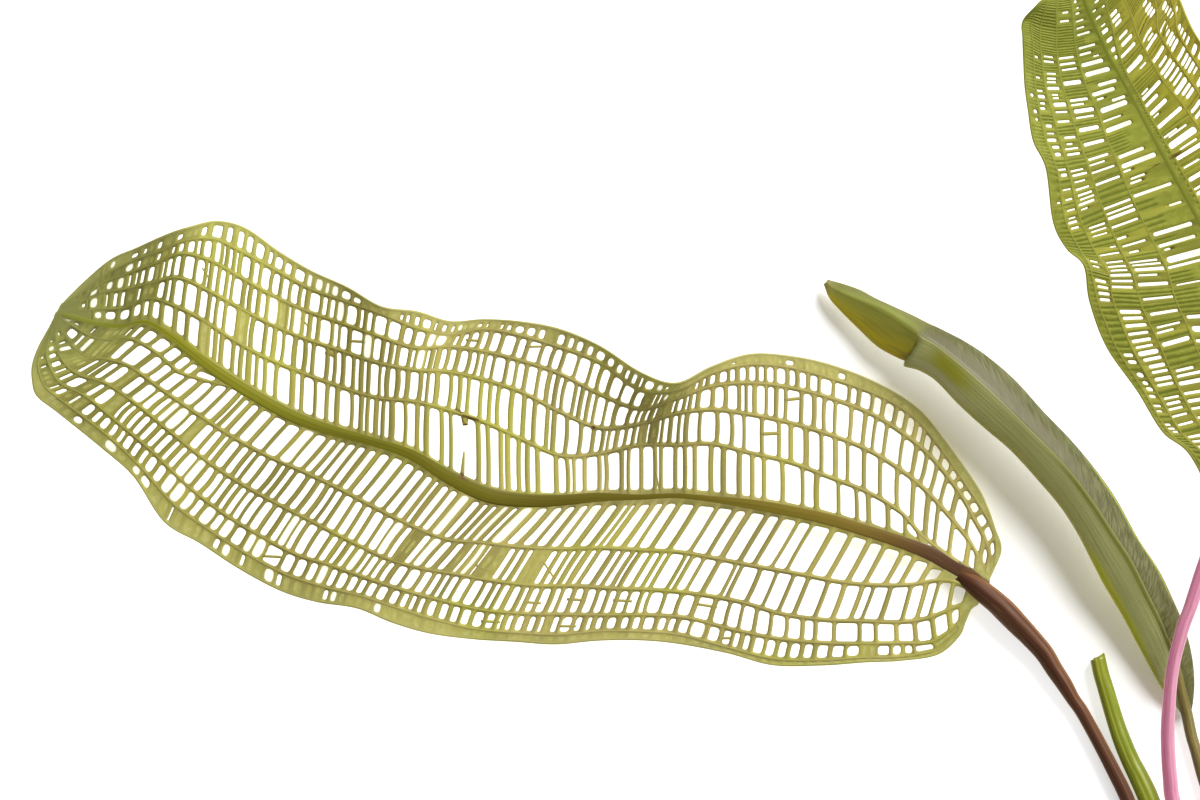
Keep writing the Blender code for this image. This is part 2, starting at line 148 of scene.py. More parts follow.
# Upper blade: the same from the right margin over the midrib to the left margin
UPPER_STATIONS = (
    (1080, -45, 1078, -46, 1076, -46, 1074, -46, 1072, -45, 1070, -44, 1068, -44, 1066, -43, 1064, -43,
     1063, -42, 1062, -42),
    (1118, -47, 1110, -46, 1100, -44, 1090, -40, 1081, -35, 1074, -30, 1067, -27, 1062, -25, 1058, -24,
     1055, -24, 1053, -23),
    (1146, -38, 1139, -37.5, 1127, -36, 1109, -30, 1094, -23, 1079, -14, 1069, -9, 1060, -7, 1053, -6, 1050,
     -5.5, 1048, -5),
    (1162, -24, 1154, -24, 1141, -23, 1118, -17, 1102, -8, 1083, 0, 1071, 5, 1056, 7, 1046, 6, 1040, 5,
     1036, 7),
    (1176, -3, 1168, -4, 1152, -6, 1124, -1, 1107, 11, 1092, 22, 1073, 28, 1056, 30, 1040, 27, 1031, 23,
     1023, 22),
    (1184, 16, 1174, 14, 1156, 12, 1131, 17, 1112, 30, 1101, 41, 1075, 48, 1056, 50, 1040, 47, 1032, 42,
     1023, 39),
    (1193, 34, 1177, 33, 1158, 33, 1138, 38, 1117, 51, 1109, 58, 1079, 66, 1058, 69, 1042, 68, 1033, 65,
     1024, 61),
    (1211, 60, 1193, 60, 1174, 59, 1152, 64, 1126, 74, 1121, 78, 1086, 88, 1063, 91, 1045, 91, 1035, 90,
     1025, 87),
    (1229, 84, 1209, 84, 1190, 82, 1165, 85, 1137, 94, 1132, 98, 1096, 111, 1070, 115, 1052, 116, 1039, 115,
     1028, 112),
    (1246, 107, 1226, 107, 1206, 105, 1181, 104, 1148, 115, 1143, 119, 1104, 134, 1078, 140, 1059, 142,
     1045, 142, 1033, 141),
    (1262, 131, 1242, 131, 1222, 128, 1197, 126, 1161, 137, 1155, 141, 1114, 157, 1087, 166, 1067, 170,
     1056, 171, 1046, 169),
    (1291, 172, 1271, 172, 1251, 168, 1226, 164, 1183, 175, 1176, 180, 1130, 196, 1101, 207, 1078, 216,
     1064, 220, 1053, 222),
    (1318, 214, 1298, 214, 1277, 210, 1251, 205, 1206, 215, 1198, 220, 1149, 235, 1117, 245, 1093, 250,
     1079, 250, 1066, 248),
    (1341, 252, 1320, 252, 1298, 250, 1271, 245, 1226, 252, 1218, 257, 1166, 270, 1131, 272, 1107, 273,
     1089, 268, 1084, 266),
    (1360, 292, 1338, 292, 1315, 290, 1288, 285, 1243, 288, 1234, 292, 1175, 300, 1140, 304, 1113, 303,
     1097, 302, 1090, 302),
    (1376, 336, 1354, 336, 1331, 334, 1303, 330, 1261, 330, 1251, 333, 1190, 334, 1158, 343, 1131, 348,
     1116, 348, 1107, 347),
    (1391, 390, 1369, 389, 1347, 387, 1319, 384, 1281, 380, 1270, 382, 1210, 382, 1178, 388, 1156, 392,
     1143, 391, 1138, 391),
    (1400, 438, 1380, 437, 1359, 435, 1333, 431, 1298, 428, 1287, 428, 1229, 423, 1200, 427, 1180, 432,
     1168, 432, 1163, 431),
    (1404, 484, 1386, 483, 1367, 480, 1343, 477, 1313, 472, 1302, 470, 1248, 464, 1224, 463, 1206, 460,
     1196, 458, 1192, 457),
    (1402, 545, 1388, 543, 1374, 541, 1355, 538, 1329, 535, 1319, 535, 1282, 533, 1259, 532, 1244, 531,
     1233, 530, 1226, 530),
    (1397, 610, 1386, 608, 1375, 606, 1361, 604, 1340, 601, 1332, 600, 1300, 600, 1281, 600, 1267, 600,
     1258, 600, 1252, 600),
    (1382, 672, 1375, 672, 1368, 671, 1360, 671, 1347, 670, 1342, 670, 1322, 671, 1310, 671, 1301, 672,
     1296, 672, 1292, 672),
    (1361, 730, 1359, 731, 1357, 732, 1354, 733, 1350, 735, 1348, 735, 1343, 734, 1340, 734, 1338, 733,
     1336, 733, 1335, 733),
)
UPPER_HEIGHTS = (
    (2, 2.5, 3, 4.5, 5.5, 5.8, 6, 5.5, 5, 4.2, 3.5, 5, 6.5, 5, 3, 1.5, 3, 4.5, 3.5, 1.5, 1.5, 2.5, 2.4),
    (2, 2.2, 2.3, 2.4, 2.5, 2.6, 2.6, 2.7, 2.8, 2.9, 3, 3, 3, 3, 3, 3, 3, 3, 3, 3, 3, 2.6, 2.4),
    (2, 2.5, 3, 4, 3, 3.5, 4, 5, 6, 6.3, 6.5, 6, 5, 5.5, 4.5, 3, 2, 2.8, 3.2, 2, 0.8, 1.8, 2.4),
)
UPPER_MIDRIB_WIDTHS = (
    (0, 1.2), (3, 4.4), (6, 4), (10, 4.2), (14, 4.8), (18, 5.6), (22, 6),
)

# Windows of the upper blade, row by row from the right margin, as four numbers a window:
# pixel x, pixel y, length and width in pixels
UPPER_WINDOWS = (
    (1176, 9.5, 4, 2, 1178, 28, 7, 2.8, 1180.5, 32.5, 8, 2.6, 1183, 37.5, 8, 2.4, 1186.5, 41, 8, 2.4,
     1193.5, 50, 10, 4.2, 1199, 56, 8, 3),
    (1163.5, 6, 8, 3.4, 1166, 10, 7, 1.8, 1168.5, 12.5, 8, 2.2, 1171, 15, 8, 2, 1173, 19, 8, 2.4, 1161.5,
     27, 12, 3, 1164.5, 30, 10, 2.2, 1167, 33, 7, 2, 1168.5, 38.5, 13, 3.4, 1171.5, 41.5, 11, 2.4, 1173.5,
     46, 13, 3.2, 1180.5, 54.5, 15, 3.2, 1184, 60, 13, 3, 1187, 63.5, 12, 2.8, 1190.5, 68, 12, 3.4, 1194.5,
     70.5, 8, 2, 1199, 82, 10, 4),
    (1144, 4, 7, 2.4, 1147, 8, 10, 3, 1149.5, 11.5, 9, 2.2, 1152, 14, 9, 2.2, 1155, 18, 11, 2.6, 1146, 35.5,
     15, 2.4, 1149.5, 37.5, 9, 1.8, 1150, 43.5, 19, 2.8, 1157.5, 55, 19, 3.4, 1162.5, 62, 13, 2.6, 1165.5,
     67.5, 18, 3.4, 1169.5, 71, 18, 3.2, 1173.5, 75, 16, 2.8, 1177, 79.5, 15, 2.6, 1180, 87, 19, 5, 1185.5,
     90, 14, 3.2, 1189.5, 93, 13, 3.4, 1195.5, 107, 15, 3.4, 1199, 113, 13, 3.2),
    (1112, 15, 10, 3, 1114.5, 19.5, 12, 3.2, 1118, 23, 9, 2.6, 1123, 35, 12, 2.6, 1126, 41, 15, 3.4, 1128,
     50.5, 20, 3, 1134.5, 64.5, 22, 4.6, 1142.5, 66, 9, 1.8, 1144, 92, 9, 1.8, 1150.5, 91.5, 26, 5, 1151,
     101, 17, 3.2, 1158, 107, 22, 4.6, 1169, 104.5, 16, 2.4, 1156, 115.5, 7, 1.6, 1169, 118, 31, 3.8, 1170,
     133, 16, 1.8, 1177, 131, 22, 2, 1181, 139, 32, 8, 1188, 145, 20, 2, 1189, 152, 30, 4, 1191, 164, 18, 2,
     1194, 177, 18, 4.4, 1198, 187, 12, 2.2, 1199, 193, 16, 4),
    (1096.5, 1.5, 5, 2, 1104, 6, 4, 1.8, 1093.5, 11.5, 4, 1.6, 1098, 18, 6, 1.8, 1103, 25.5, 5, 1.6, 1104.5,
     31.5, 8, 3.8, 1109, 40, 7, 3.4, 1113, 49.5, 5, 4.2, 1115.5, 57.5, 2.8, 3.6),
    (1075, 2, 2.5, 3, 1077, 8, 2.5, 1.6, 1077, 13.5, 4, 2.2, 1079, 21, 8, 1.6, 1080, 28, 8, 1.8, 1083, 34,
     13, 2, 1086, 47, 17, 2.2, 1085, 54, 12, 2.2, 1096, 56, 6, 1.6, 1083, 60, 6, 1.8, 1092, 63, 22, 4, 1097,
     72, 25, 4.6, 1107, 83, 19, 3.4, 1103, 92, 23, 3.8, 1111, 96, 5, 1.4, 1100, 99, 7, 2, 1118, 99, 14, 3,
     1113, 107, 28, 5.2, 1111, 119, 19, 1.8, 1128, 114, 9, 2, 1118, 127, 27, 4.6, 1130, 153, 27, 3.6, 1138,
     161, 36, 4.4, 1127, 171, 8, 2, 1137, 177, 15, 2, 1135, 182, 12, 2.2, 1152, 190, 40, 3, 1175, 204, 13,
     2.2, 1172, 229, 40, 4.2, 1177, 241, 38, 3.2, 1166, 250, 6, 2, 1185, 256, 40, 8, 1184, 264, 34, 2.6,
     1188, 283, 24, 1.5, 1199, 316, 24, 3.4, 1208, 329, 34, 6, 1213, 341, 40, 3, 1222, 356, 34, 2.4, 1228,
     371, 40, 3.6, 1230, 382, 30, 2.4, 1240, 398, 42, 3.4, 1244, 412, 40, 2.6, 1252, 428, 44, 4, 1262, 446,
     44, 2.6, 1270, 463, 40, 3.4, 1282, 492, 34, 2.6),
    (1065, 13, 6, 2, 1064, 21.5, 9, 2, 1066, 58, 15, 2, 1067, 64, 16, 2.2, 1069, 69.5, 15, 1.8, 1072, 83,
     18, 4.2, 1078, 100, 18, 2.6, 1077, 105, 13, 2, 1083, 111, 20, 4, 1084, 117.5, 18, 2, 1088, 129, 20, 4,
     1093, 143, 21, 3.4, 1098, 157, 21, 2.4, 1096, 163.5, 16, 1.8, 1102, 170, 24, 2, 1107, 181, 26, 2.4,
     1117, 204, 29, 2.2, 1119, 210, 28, 2, 1121, 214.5, 29, 3, 1124, 223.5, 28, 2.2, 1138, 233, 14, 2, 1121,
     238, 10, 2.2, 1133, 243.5, 24, 2, 1133, 252, 10, 2, 1143, 261, 28, 1.8, 1146, 264.5, 29, 1.6, 1149,
     269, 30, 3.2, 1147, 275, 19, 1.8, 1153, 284, 30, 3.4, 1157, 298, 30, 2.2, 1163, 312.5, 28, 2.8, 1168,
     325, 24, 2, 1165, 331, 17, 2.2, 1175, 341.5, 28, 4.4, 1184, 369, 18, 2.6, 1190, 373.5, 28, 2.8, 1192,
     381, 28, 4, 1194, 392, 22, 2.8, 1197, 400, 20, 3.4, 1200, 407, 20, 2.4, 1206, 416, 18, 2.6, 1212, 436,
     22, 2.4, 1218, 449, 20, 3, 1230, 470, 20, 2.4),
    (1048, 57, 9, 1.4, 1048, 62, 11, 2, 1051, 74, 9, 1.6, 1051, 79, 9, 2, 1051, 82.5, 9, 2, 1053, 88.5, 12,
     3, 1054, 95, 6, 1.6, 1055, 98.5, 6, 1.8, 1059, 105, 13, 4, 1061, 112.5, 12, 1.8, 1063, 122, 12, 2.2,
     1069, 138, 11, 2.4, 1069, 144.5, 6, 1.8, 1071, 149, 13, 1.8, 1073, 154.5, 13, 2.4, 1076, 171, 13, 1.8,
     1079, 175, 15, 2.2, 1079, 181, 11, 1.6, 1082, 188, 14, 2, 1084, 193.5, 15, 2.2, 1086, 198, 15, 1.8,
     1086, 203, 17, 2.4, 1083, 209, 7, 1.6, 1096, 226.5, 17, 2, 1098, 230.5, 16, 1.4, 1099, 235, 15, 1.4,
     1112, 247, 6, 1.4, 1109, 254, 20, 1.6, 1114, 262, 17, 1.6, 1116, 266.5, 18, 1.8, 1118, 270.5, 17, 1.8,
     1120, 275.5, 21, 2.6, 1121, 281, 21, 2.2, 1122, 287, 21, 2.2, 1130, 312, 21, 3.6, 1132, 318.5, 20, 3.2,
     1135, 326, 21, 3.2, 1138, 333, 20, 2.6, 1141, 340, 19, 3.4, 1144, 346, 17, 2.4, 1148, 352, 20, 4.6,
     1152, 359, 18, 3.4, 1156, 365.5, 16, 3.6, 1159, 371.5, 16, 2.8, 1163, 378, 17, 3.6, 1165, 384.5, 16,
     2.6, 1171, 398, 15, 2.2, 1173, 403, 14, 2.6, 1175, 408, 14, 2.4, 1179, 415, 15, 2.2, 1185, 423.5, 15,
     2.2, 1195, 436, 14, 2.4, 1197, 441, 14, 2.4, 1200, 447, 12, 3, 1210, 463, 14, 2.4, 1216, 474, 14, 2.6),
    (1034, 56.5, 5, 1.8, 1037, 78, 5, 1.8, 1039, 91, 6, 1.8, 1041, 97, 7, 3.4, 1042, 104, 5, 2.2, 1042, 109,
     5, 2.4, 1048, 126.5, 6, 3, 1050, 134, 7, 1.4, 1051, 140.5, 9, 3, 1055, 147.5, 7, 3, 1057, 155, 6, 3.6,
     1061, 170, 8, 1.8, 1063, 175.5, 6, 3.4, 1066, 190, 9, 1.4, 1068, 200, 7, 1.8, 1070, 210.5, 8, 1.6,
     1071, 218, 7, 1.4, 1072, 223, 9, 2.6, 1074, 228.5, 8, 2, 1093, 262, 8, 1.4, 1095, 267, 7, 1.4, 1100,
     281, 11, 2.6, 1102, 287.5, 11, 2.2, 1103, 293.5, 11, 2.8, 1104, 300, 10, 2.8, 1128, 355, 9, 3.2, 1132,
     362, 8, 3.2, 1140, 375, 6, 4.6, 1145, 383, 5, 3.4, 1149, 389.5, 6, 3.6, 1152, 396.5, 6, 2.8, 1157, 406,
     7, 2, 1159, 411.5, 5, 1.8, 1167, 424.5, 6, 2, 1171, 428.5, 6, 2, 1175, 432, 5, 1.8),
    (1031, 95.5, 3, 3, 1034.5, 112, 3.4, 3.4, 1036, 120, 2.5, 2.5, 1058, 203.5, 3.6, 1.8),
)
# Slant of the windows in the five right-hand rows, in degrees up from the photo's x axis,
# and how it falls with each pixel further down
UPPER_SLANTS = (68.0, 62.0, 56.0, 47.0, 38.0)
UPPER_SLANT_FALL = 0.28
UPPER_SLANT_FROM = 95.0
UPPER_SLANT_REACH = 60.0
# Steps between the windows that the photograph doesn't show, and their widths, in pixels
UPPER_UNSEEN_STEPS = (6.5, 13.0)
UPPER_UNSEEN_WIDTHS = (1.6, 4.2)

# Brown stains on both lace blades: start and end pixel, then the radius in pixels
STAINS = (
    (457, 409, 462, 412, 1.2), (463, 416, 478, 420, 1.3), (461, 417, 462, 421, 1.4),
    (469, 417, 469, 421, 1.4), (465.5, 425.5, 466, 426, 2.2), (458, 477, 470, 482, 0.9),
    (461, 475, 464, 478, 2), (593, 427, 594, 428, 1.8), (299, 412, 299, 413, 1.3),
    (546, 454, 547, 455, 1.5), (1170, 158, 1183, 151, 1.5), (1159, 163, 1164, 166, 1.4),
    (966, 576, 990, 591, 7),
)

# Folded blade: pixels of left margin, ridge and right margin, then the heights of the three
FOLDED_STATIONS = (
    (824, 284, 826, 282.5, 828, 280.5, 2.2, 2.6, 2.2), (829, 298, 836, 290, 840, 283, 2.4, 3.4, 2.9),
    (841, 312, 850, 296.5, 860, 290, 2.8, 4.4, 3.7), (858, 329, 870, 304, 876, 299, 3.2, 5.6, 4.6),
    (876, 346, 887, 312, 893, 307, 3.9, 6.8, 5.4), (893, 356, 904, 323, 911, 315, 4.6, 7.9, 6),
    (906, 361.5, 915, 331, 925, 322, 5.1, 8.8, 6.4), (911, 361, 919, 334, 931, 325, 5.2, 9, 6.5),
    (903, 366, 923, 337, 936, 327, 5.8, 9.4, 6.6), (918, 370.5, 935, 344, 948, 333, 6.4, 10, 6.8),
    (935, 381, 950, 356, 965, 342, 7.2, 10.8, 7), (957, 404, 971, 374, 986, 356, 8, 11.5, 7.2),
    (982, 427, 997, 398, 1014, 380, 8.4, 12.1, 7.2), (1010, 451, 1022, 423, 1042, 411, 8.6, 12.4, 7.1),
    (1040, 484, 1050, 450.5, 1070, 440, 8.6, 12.5, 6.9),
    (1060, 508, 1073, 476.5, 1095, 470, 8.4, 12.2, 6.7), (1076, 533, 1094, 505, 1116, 500, 8, 11.8, 6.4),
    (1090, 560, 1113, 534, 1137, 538, 7.4, 11.1, 6), (1103, 585, 1130, 560, 1158, 570, 6.6, 10.2, 5.4),
    (1121, 615, 1146, 592, 1173, 601, 5.4, 8.9, 4.6), (1140, 650, 1159, 618, 1184, 627, 4.2, 7.4, 3.8),
    (1153, 674, 1168, 641, 1191, 653, 3.2, 6, 3), (1162, 689, 1175, 666, 1194, 679, 2.6, 4.6, 2.4),
    (1173, 702, 1181, 692, 1193, 700, 2, 3.2, 1.9), (1180, 712, 1185, 711, 1191, 711, 1.7, 2.4, 1.6),
)

# Stalks: pixel x, pixel y, height and radius in millimetres, from the far end to the corm
LARGE_STALK = (
    (934, 558.5, 0.7, 0.6), (946, 565.5, 1, 0.9), (957, 573, 1.4, 1.35), (966, 579.5, 1.9, 1.85),
    (975, 585.5, 2.3, 2.25), (985, 593.5, 2.45, 2.4), (996, 602.5, 2.5, 2.45), (1006, 612, 2.6, 2.55),
    (1017, 623.5, 2.5, 2.45), (1030, 637, 2.3, 2.25), (1044, 653, 2.1, 2.1), (1054, 669, 1.95, 1.95),
    (1064, 684, 1.8, 1.8), (1073, 699, 1.6, 1.55), (1082, 712, 1.6, 1.5), (1098, 741, 1.6, 1.5),
    (1113, 770, 1.6, 1.55), (1127, 799, 1.7, 1.6), (1138, 832, 2, 1.6), (1149, 868, 2.7, 1.6),
    (1160, 910, 4, 1.6), (1178, 950, 5.4, 1.7), (1206, 975, 6.2, 1.9), (1236, 988, 6.6, 2.2),
    (1252, 995, 7.2, 2.2),
)
UPPER_STALK = (
    (1346, 722, 2.6, 1.4), (1350, 755, 2, 1.4), (1350, 790, 1.6, 1.4), (1348, 830, 1.8, 1.4),
    (1343, 875, 3, 1.45), (1336, 915, 4.8, 1.5), (1327, 945, 6, 1.7), (1312, 972, 6.6, 2),
)
FOLDED_STALK = (
    (1159, 618, 7.1, 0.35), (1168, 641, 5.8, 0.6), (1175, 665, 4.4, 0.95), (1180, 688, 3.2, 1.15),
    (1184, 704, 2.3, 1.25), (1187, 716, 1.8, 1.3), (1191, 735, 1.5, 1.3), (1196, 752, 1.5, 1.3),
    (1203, 778, 1.5, 1.3), (1213, 805, 1.6, 1.35), (1228, 840, 2.2, 1.4), (1248, 875, 3.4, 1.4),
    (1272, 905, 4.8, 1.45), (1287, 935, 6, 1.6), (1290, 965, 6.8, 1.9), (1290, 980, 7.4, 1.9),
)
FLOWER_STALK = (
    (1282, 426, 13.4, 1.35), (1260, 450, 13, 1.45), (1236, 486, 12.7, 1.5), (1215, 527, 12.5, 1.55),
    (1201, 566, 12.2, 1.55), (1192, 594, 12, 1.55), (1187, 609, 11.9, 1.5), (1181, 625, 11.7, 1.5),
    (1177, 640, 11.5, 1.45), (1173, 655, 11.2, 1.45), (1170, 672, 10.8, 1.45), (1168, 690, 10.2, 1.45),
    (1167, 706, 9.4, 1.5), (1166, 730, 8, 1.55), (1167, 755, 6.6, 1.6), (1169, 778, 5.6, 1.65),
    (1172, 800, 4.6, 1.7), (1184, 832, 3.6, 1.75), (1199, 866, 3.8, 1.75), (1219, 898, 4.8, 1.75),
    (1243, 925, 5.8, 1.8), (1266, 955, 6.6, 2), (1276, 978, 7.2, 2),
)
CUT_STALK = (
    (1097.6, 659, 1.7, 1.7), (1101, 674, 1.75, 1.75), (1105.5, 689, 1.8, 1.8), (1110.5, 706, 1.85, 1.85),
    (1116, 724, 1.9, 1.9), (1122, 741, 2, 2), (1130, 760, 2, 2.05), (1139, 778, 2.1, 2.2),
    (1148.5, 799, 2.2, 2.3), (1160, 832, 2.3, 2.2), (1170, 866, 2.7, 2.1), (1185, 905, 3.9, 2),
    (1208, 942, 5.4, 2), (1238, 968, 6.4, 2.2), (1258, 983, 7, 2.2),
)
# How far the cut end is torn, in millimetres
CUT_TORN = 1.0
FLOWER_SPIKES = (
    ((1280, 430, 13.4, 1.1), (1287, 408, 13.9, 2), (1304, 381, 14.2, 2.6), (1331, 344, 14.3, 2.7),
     (1355, 305, 14, 2.2), (1371, 270, 13.8, 0.8)),
    ((1279, 431, 13.4, 1.1), (1303, 431, 13.8, 2), (1335, 424, 14.2, 2.6), (1373, 413, 14.3, 2.7),
     (1409, 397, 14, 2.2), (1438, 378, 13.8, 0.8)),
)

# Light: a white sky, and a wide lamp given by the direction that it stands in
SKY_STRENGTH = 0.30
KEY_STRENGTH = 7.0
KEY_SPREAD = 34.0
KEY_AZIMUTH = 48.0
KEY_ELEVATION = 34.0
FLOOR_GLOW = 0.06
FLOOR_COLOUR = (0.93, 0.93, 0.92)
FLOOR_REACH = 2.0
FLOOR_DROP = 0.0002

Array = np.ndarray
Socket = bpy.types.NodeSocket
# What goes into a node's socket: another socket, a number or a colour
Signal = Socket | float | tuple


class Kind(Enum):
    """What fills a cell of the lace."""

    OPEN = 0
    CLOSED = 1
    VEILED = 2
    PLAIN = 3


@dataclass(frozen=True)
class Row:
    """One row of cells between two long veins.

    Attributes:
        name: The row's name in the log.
        top: Station and vein number pairs of the vein above, the vein number read between them.
        bottom: The same for the vein below.
        tip: Cross veins near the tip and the base, as station numbers.
        bars: Cross veins as photo pixels x on the row's middle line.
        closed: Cells with leaf tissue in them, each by a pixel x inside it.
        veiled: Cells with a thin pale skin in them, each by a pixel x inside it.
        stations: First and last station of the row.
        bar: Half width of a cross vein, in pixels.
        insets: Half widths of the veins above and below, in pixels, beside the midrib's own.
        lean: Station and lean pairs: how far the cross veins run along the row on their way across it.
        windows: Windows given one by one, as pixel x, pixel y, length and width in pixels.
    """

    name: str
    top: tuple
    bottom: tuple
    tip: tuple = ()
    bars: tuple = ()
    closed: tuple = ()
    veiled: tuple = ()
    stations: tuple = (0.0, 31.0)
    bar: float = 2.2
    insets: tuple = (2.43, 2.43)
    lean: tuple = ((0.0, 0.0), (60.0, 0.0))
    windows: tuple = ()


def straight(rail: float) -> tuple:
    """Station and vein pairs of a vein that keeps one number from before the tip to past the base."""
    return ((-1.0, rail), (60.0, rail))


def leaning(lean: float) -> tuple:
    """Station and lean pairs of a row whose cross veins lean in the blade's middle."""
    return ((10.5, 0.0), (13.0, lean), (18.5, lean), (20.5, 0.0))


